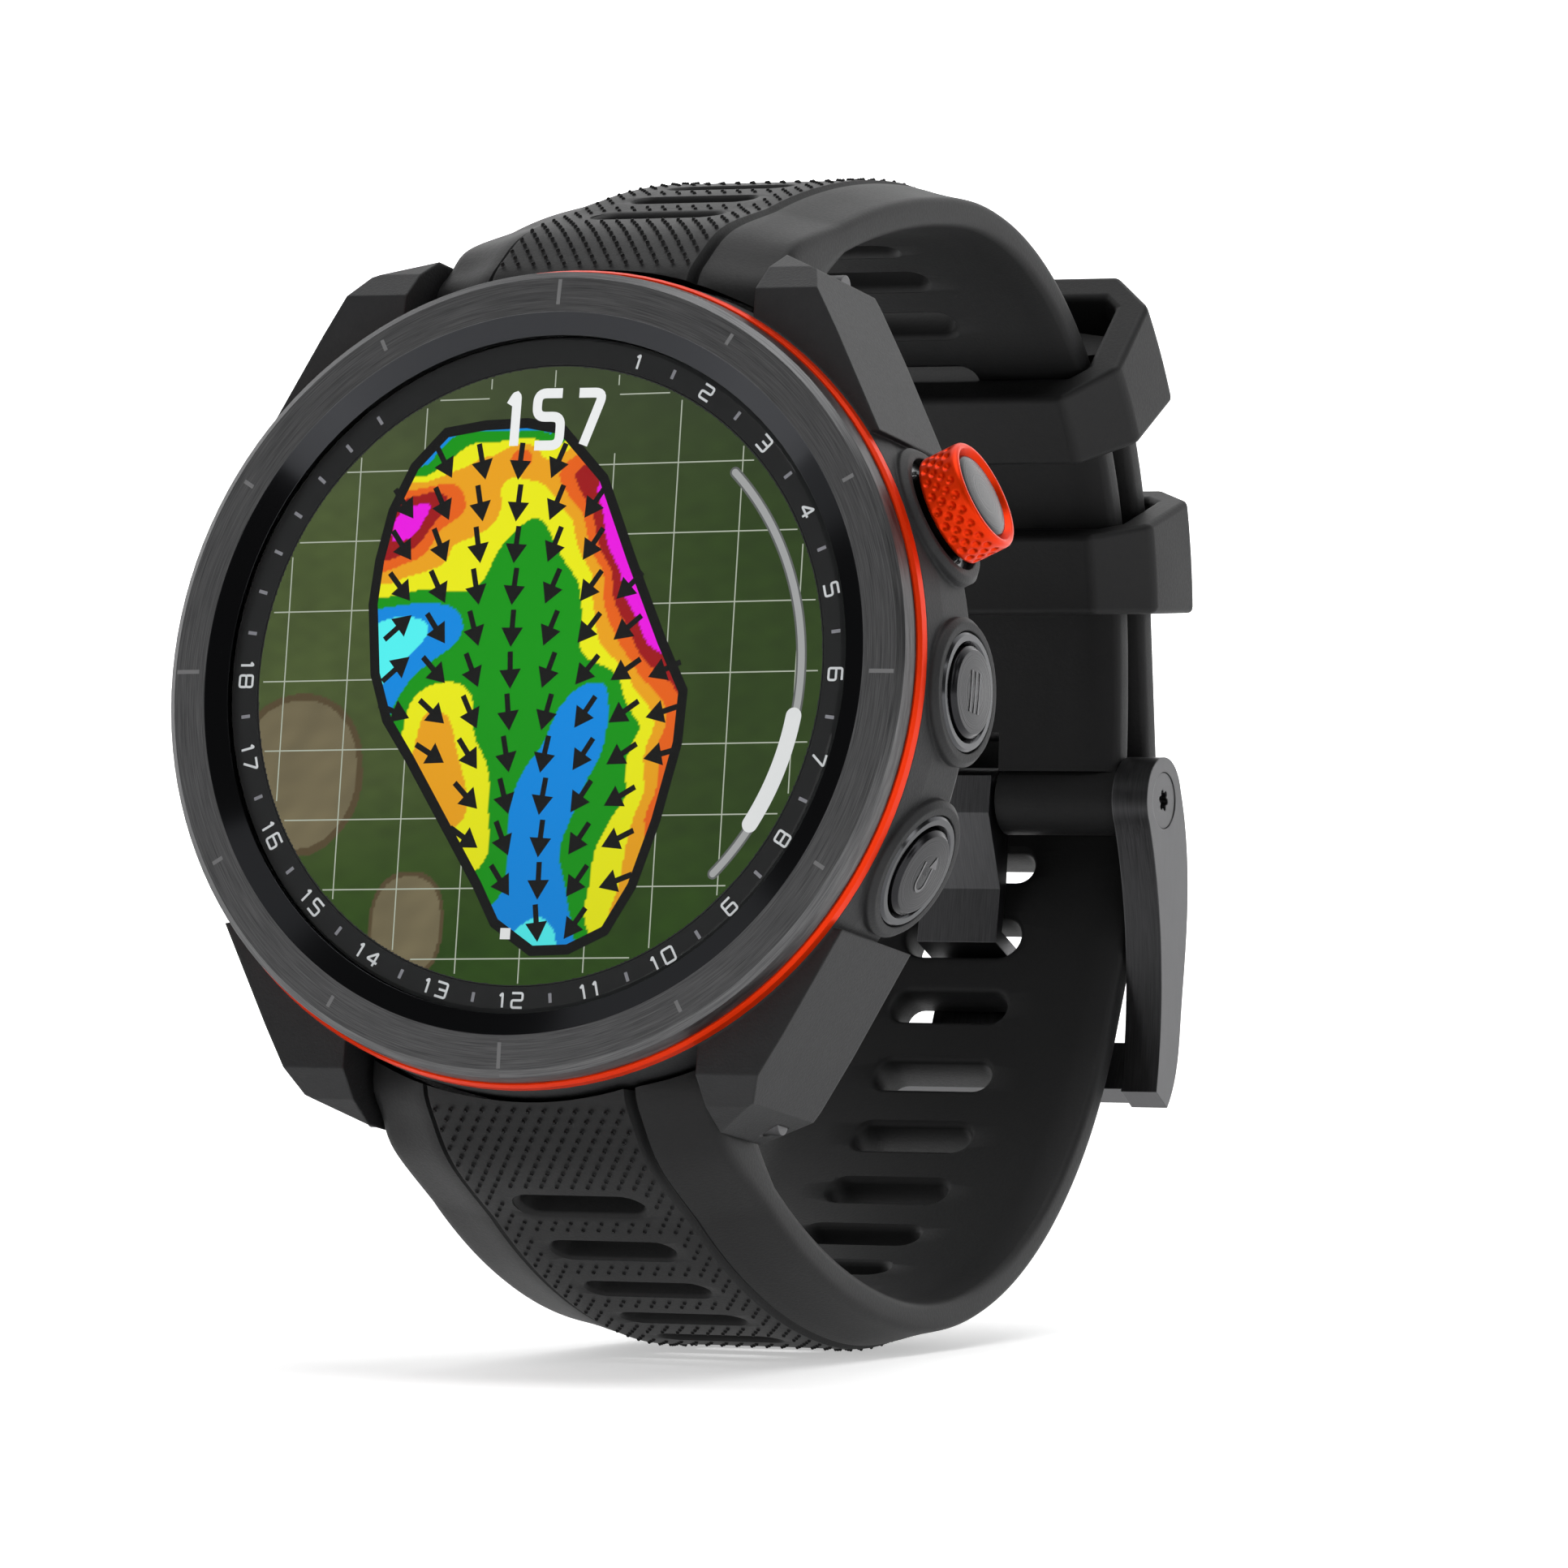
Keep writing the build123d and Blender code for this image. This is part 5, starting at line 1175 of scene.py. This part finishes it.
glow_finish = Finish("lit_picture", (0.0, 0.0, 0.0), Roughness=0.35, Specular_IOR_Level=0.1,
                     Emission_Strength=1.0)
glow_finish.set("Emission Color", glow_finish.add("Attribute", {"attribute_name": "light"}, {}, 0))


def lit_picture(step=0.115):
    """A disc of small squares; each corner's colour is worked out from its place."""
    line = np.arange(-PICTURE_R, PICTURE_R + step, step)
    x, y = np.meshgrid(line, line, indexing="ij")
    radius = np.hypot(x, y)
    pull = np.minimum(1, PICTURE_R / np.maximum(radius, 1e-6))
    points = np.stack([x * pull, y * pull], -1).reshape(-1, 2)
    faces = np.array(grid_faces(len(line), len(line)))
    faces = faces[(radius.ravel()[faces] < PICTURE_R + step * 0.7).all(1)]
    used, faces = np.unique(faces, return_inverse=True)
    points, faces = points[used], faces.reshape(-1, 4)
    piece = piece_from("display_picture", at(points[:, 0], 1.077, points[:, 1]), faces.tolist(),
                       glow_finish, smooth=False, closed=False)
    light = piece.data.color_attributes.new("light", "FLOAT_COLOR", "POINT")
    colors = np.column_stack([picture_colors(points - PICTURE_AT), np.ones(len(points))])
    light.data.foreach_set("color", colors.astype(np.float32).ravel())
    settle(piece, "watch", "display")


lit_picture()

# %% [markdown]
# Crisp shapes lie over the picture in thin layers, a few microns apart under the glass: the grid,
# the green's outline, the arrows that show the slope, the distance, and a gauge at the right.

# %% Layers over the picture
def plain_light(name, color):
    """A flat colour of light on the display, which a fine noise moves by three parts in 100."""
    finish = Finish(name, (0.0, 0.0, 0.0), Roughness=0.4, Specular_IOR_Level=0.1,
                    Emission_Strength=1.0)
    shade = linear(np.array(color) / 255)
    flicker = finish.noise(3000, 1.0)
    finish.set("Emission Color", finish.blend(tuple(shade * 0.97), tuple(shade), flicker))
    return finish


def layer(name, points, faces, depth, finish):
    """Flat shapes in the picture's own millimetres, at a depth under the glass."""
    x, y = (points + PICTURE_AT).T
    piece = piece_from(name, at(x, depth, y), faces, finish, smooth=False, closed=False)
    settle(piece, "watch", "display")


GRID_PITCH, GRID_TURN, GRID_WIDTH = 4.1, math.radians(1.0), 0.075


def grid_lines():
    """Short steps along every line, kept where they are on the grass."""
    steps = np.arange(-18.2, 18.2, 0.2)
    turn = np.array([[math.cos(GRID_TURN), -math.sin(GRID_TURN)],
                     [math.sin(GRID_TURN), math.cos(GRID_TURN)]])
    shapes = []
    for number in range(-5, 6):
        for axis in (0, 1):
            middle = np.empty((len(steps), 2))
            middle[:, axis] = steps + 0.1
            middle[:, 1 - axis] = number * GRID_PITCH + (-0.4 if axis else 0.05)
            middle = middle @ turn.T
            corner = np.zeros((4, 2))
            corner[:, axis] = (-0.1, 0.1, 0.1, -0.1)
            corner[:, 1 - axis] = np.array([-1, -1, 1, 1]) * GRID_WIDTH / 2
            keep = (np.hypot(*(middle + PICTURE_AT).T) < 17.9) & ~inside(middle, OUTLINE)
            keep &= ~((np.abs(middle[:, 0] + 0.7) < 4.2) & (np.abs(middle[:, 1] - 15.0) < 2.0))
            points = (middle[keep][:, None] + corner @ turn.T).reshape(-1, 2)
            shapes.append((points, np.arange(len(points)).reshape(-1, 4).tolist()))
    return gathered(shapes)


def arrow_direction(place):
    """Down the green and in towards its middle; steeper inwards near its edges."""
    x, y = place.T
    middle = np.interp(y, [-16, -4, 6, 15], [1.6, -0.6, -3.0, -3.0])
    half = np.interp(y, [-16, -2, 6, 15], [3.5, 9.5, 8.0, 4.5])
    off = np.clip((x - middle) / half, -1, 1)
    down = -1 + 0.95 * np.clip(np.abs(off) - 0.35, 0, 1) * np.clip((4 - y) / 6, 0, 1)
    inward = -1.15 * off * np.interp(y, [-16, 0, 8, 15], [1.1, 1.3, 0.7, 0.6])
    swirl = (x < -8.8) & (y < 3.6) & (y > -1.0)
    direction = np.stack([np.where(swirl, 0.8, inward), np.where(swirl, 0.7, down)], -1)
    return direction / np.linalg.norm(direction, axis=1)[:, None]


def arrows():
    """Every arrow is the same seven points, turned to its own direction and moved to its place."""
    row, column = np.meshgrid(np.arange(12), np.arange(9), indexing="ij")
    place = np.stack([-10.0 + 2.48 * column + 0.08 * row, 12.7 - 2.45 * row], -1).reshape(-1, 2)
    ahead_now = arrow_direction(place)
    tips = place + ahead_now * 1.05
    keep = inside(place, OUTLINE * 0.97) & inside(tips, OUTLINE)
    place, ahead_now = place[keep], ahead_now[keep]
    shape = np.array([(-1.05, -0.17), (0.0, -0.17), (0.0, -0.7), (1.15, 0), (0.0, 0.7), (0.0, 0.17),
                      (-1.05, 0.17)])
    sideways = np.stack([-ahead_now[:, 1], ahead_now[:, 0]], -1)
    points = (place[:, None] + shape[None, :, :1] * ahead_now[:, None]
              + shape[None, :, 1:] * sideways[:, None])
    faces = [[7 * i + j for j in corners] for i in range(len(place))
             for corners in ((0, 1, 5, 6), (2, 3, 4))]
    return points.reshape(-1, 2), faces


def round_ended_arc(start, stop, radius, width):
    """A band along a circle between two clock angles, with a disc at each end."""
    angle = np.radians(np.linspace(start, stop, 60))
    middle = radius * np.stack([np.sin(angle), np.cos(angle)], -1)
    turn = np.radians(np.linspace(0, 360, 24, endpoint=False))
    disc = width / 2 * np.stack([np.cos(turn), np.sin(turn)], -1)
    discs = [(middle[i] + disc, [list(range(24))]) for i in (0, -1)]
    return gathered([ribbon(middle, width), *discs])


GAUGE_R, GAUGE_FROM, GAUGE_TO = 16.35, 43.5, 134.0
figures, figure_faces = figures_from("157", 3.65, 2.15, 0.58, 0.5)
spot = np.array([(-1.45, -14.6), (-0.8, -14.6), (-0.8, -15.25), (-1.45, -15.25)])
for name, (points, faces), depth, light_name, color in (
        ("grid", grid_lines(), 1.074, "grid_light", (176, 182, 166)),
        ("outline", ribbon(OUTLINE, 0.6, closed=True), 1.071, "black_light", (6, 6, 6)),
        ("arrows", arrows(), 1.068, "arrow_light", (10, 10, 10)),
        ("gauge_edge", round_ended_arc(GAUGE_FROM, GAUGE_TO, GAUGE_R, 0.66), 1.067,
         "gauge_edge_light", (96, 98, 96)),
        ("gauge", round_ended_arc(GAUGE_FROM, GAUGE_TO, GAUGE_R, 0.42), 1.064, "gauge_light",
         (164, 164, 164)),
        ("gauge_mark", round_ended_arc(98.0, 121.5, GAUGE_R - 0.1, 0.98), 1.061, "mark_light",
         (226, 226, 226)),
        ("distance", (figures + (-0.55, 15.1), figure_faces), 1.058, "figure_light",
         (244, 244, 244)),
        ("spot", (spot, [[0, 1, 2, 3]]), 1.058, "spot_light", (226, 226, 226))):
    layer(f"display_{name}", points, faces, depth, plain_light(light_name, color))

# %% [markdown]
# The lower two caps carry engraved signs: three lines for the menu, and a turned-back arrow.
# They are thin bands laid on the cap's face, in a tone a little paler than the cap.

# %% Signs on the caps
SIGN_FINISH = Finish("engraving", (0.16, 0.16, 0.165), Metallic=0.8)
SIGN_FINISH.set("Roughness", 0.45 + SIGN_FINISH.noise(5000, 2.0) * 0.2)
CAP_FACE = BOSS_REACH + 0.5 + 0.004      # four microns in front of the cap
SIGN_WIDTH = 0.17


def sign(name, button, shapes):
    """Flat shapes (along the turn, towards the face) on a cap's front."""
    points, faces = gathered(shapes)
    place = button_place(button, points[:, 1], points[:, 0], np.full(len(points), CAP_FACE))
    piece = piece_from(name, place, faces, SIGN_FINISH, smooth=False, closed=False)
    settle(piece, BODY_OF[f"{button}_cap"], "cap")


sign("menu_sign", "menu", [ribbon(np.array([(-1.2, offset), (1.2, offset)]), SIGN_WIDTH)
                           for offset in (-0.55, 0, 0.55)])
bow = np.radians(np.linspace(90, -90, 20))
bend = np.stack([0.45 + 0.55 * np.cos(bow), 0.55 * np.sin(bow)], -1)
turn_back = np.concatenate([[(-0.75, 0.55)], bend, [(-0.55, -0.55)]])
arrow_head = (np.array([(-1.25, -0.55), (-0.5, -0.1), (-0.5, -1.0)]), [[0, 1, 2]])
sign("back_sign", "back", [ribbon(turn_back, SIGN_WIDTH), arrow_head])

# %% [markdown]
# Light is a plain studio: a large soft panel in front and to the left, a tall narrow one at the
# right for the buttons and the buckle, and one above. The floor is a flat sheet at the lowest
# point of the strap, and a far upright sheet behind it makes the pale background. The sky is dim,
# so that the black parts keep their depth.

# %% Floor and light
LOWEST = float(CAD_BOX[0][2])
SKY_LIGHT, FLOOR_LIGHT, BACKDROP_LIGHT = 0.1, 0.45, 0.95
BACKDROP_AT, BACKDROP_SIZE, FLOOR_SIZE = 1.3, 7.8, 3.0


def glowing_sheet(name, corners):
    """A flat sheet that glows a little, so that it stays pale under soft light. The lamps reach
    only the middle of the floor, so the glow rises with the distance from the watch:
    BACKDROP_LIGHT * (near + (1 - near) * ramp), with a ramp from 0.3 to 0.5 m."""
    finish = Finish(name, (0.86, 0.86, 0.86), Roughness=0.9, Specular_IOR_Level=0.0,
                    Emission_Strength=BACKDROP_LIGHT)
    finish.set("Base Color", finish.blend((0.855, 0.855, 0.855), (0.865, 0.865, 0.865),
                                          finish.noise(30, 2.0)))
    away = finish.add("VectorMath", {"operation": "LENGTH"}, {0: finish.place()}, out="Value")
    near = FLOOR_LIGHT / BACKDROP_LIGHT
    finish.set("Emission Color", finish.blend((near, near, near), (1.0, 1.0, 1.0),
                                              away.between(0.3, 0.5)))
    piece_from(name, np.array(corners), [[0, 1, 2, 3]], finish, closed=False)


heading = np.array([CAMERA_FORWARD.x, CAMERA_FORWARD.y]) / CAMERA_FORWARD.xy.length
sideways = np.array([heading[1], -heading[0]])
glowing_sheet("floor", [
    (*(FLOOR_SIZE * (ahead * heading + across * sideways)), LOWEST)
    for ahead, across in ((-1, -1), (-1, 1), (1, 1), (1, -1))])
glowing_sheet("backdrop", [
    (*(BACKDROP_AT * heading + across * BACKDROP_SIZE * sideways), level)
    for across, level in ((-1, LOWEST), (1, LOWEST), (1, BACKDROP_SIZE), (-1, BACKDROP_SIZE))])

world = bpy.data.worlds.new("studio")
world.use_nodes = True
background = world.node_tree.nodes["Background"]
background.inputs["Color"].default_value = (1.0, 1.0, 1.0, 1.0)
background.inputs["Strength"].default_value = SKY_LIGHT
bpy.context.scene.world = world


def softbox(name, place, aim, size, watts):
    """A rectangular area light at a place, turned towards its aim."""
    light = bpy.data.lights.new(name, "AREA")
    light.shape, light.size, light.size_y, light.energy = "RECTANGLE", *size, watts
    lamp = bpy.data.objects.new(name, light)
    lamp.location = place
    lamp.rotation_euler = (Vector(aim) - Vector(place)).to_track_quat("-Z", "Y").to_euler()
    bpy.context.scene.collection.objects.link(lamp)


softbox("key", (-0.55, -0.95, 0.45), (0, 0, 0), (1.3, 1.0), 1.9)
softbox("side", (0.7, -0.1, 0.2), (0, 0, 0), (0.2, 0.5), 0.8)
softbox("over", (0.1, -0.06, 0.65), (0, 0, 0), (0.5, 0.5), 2.4)
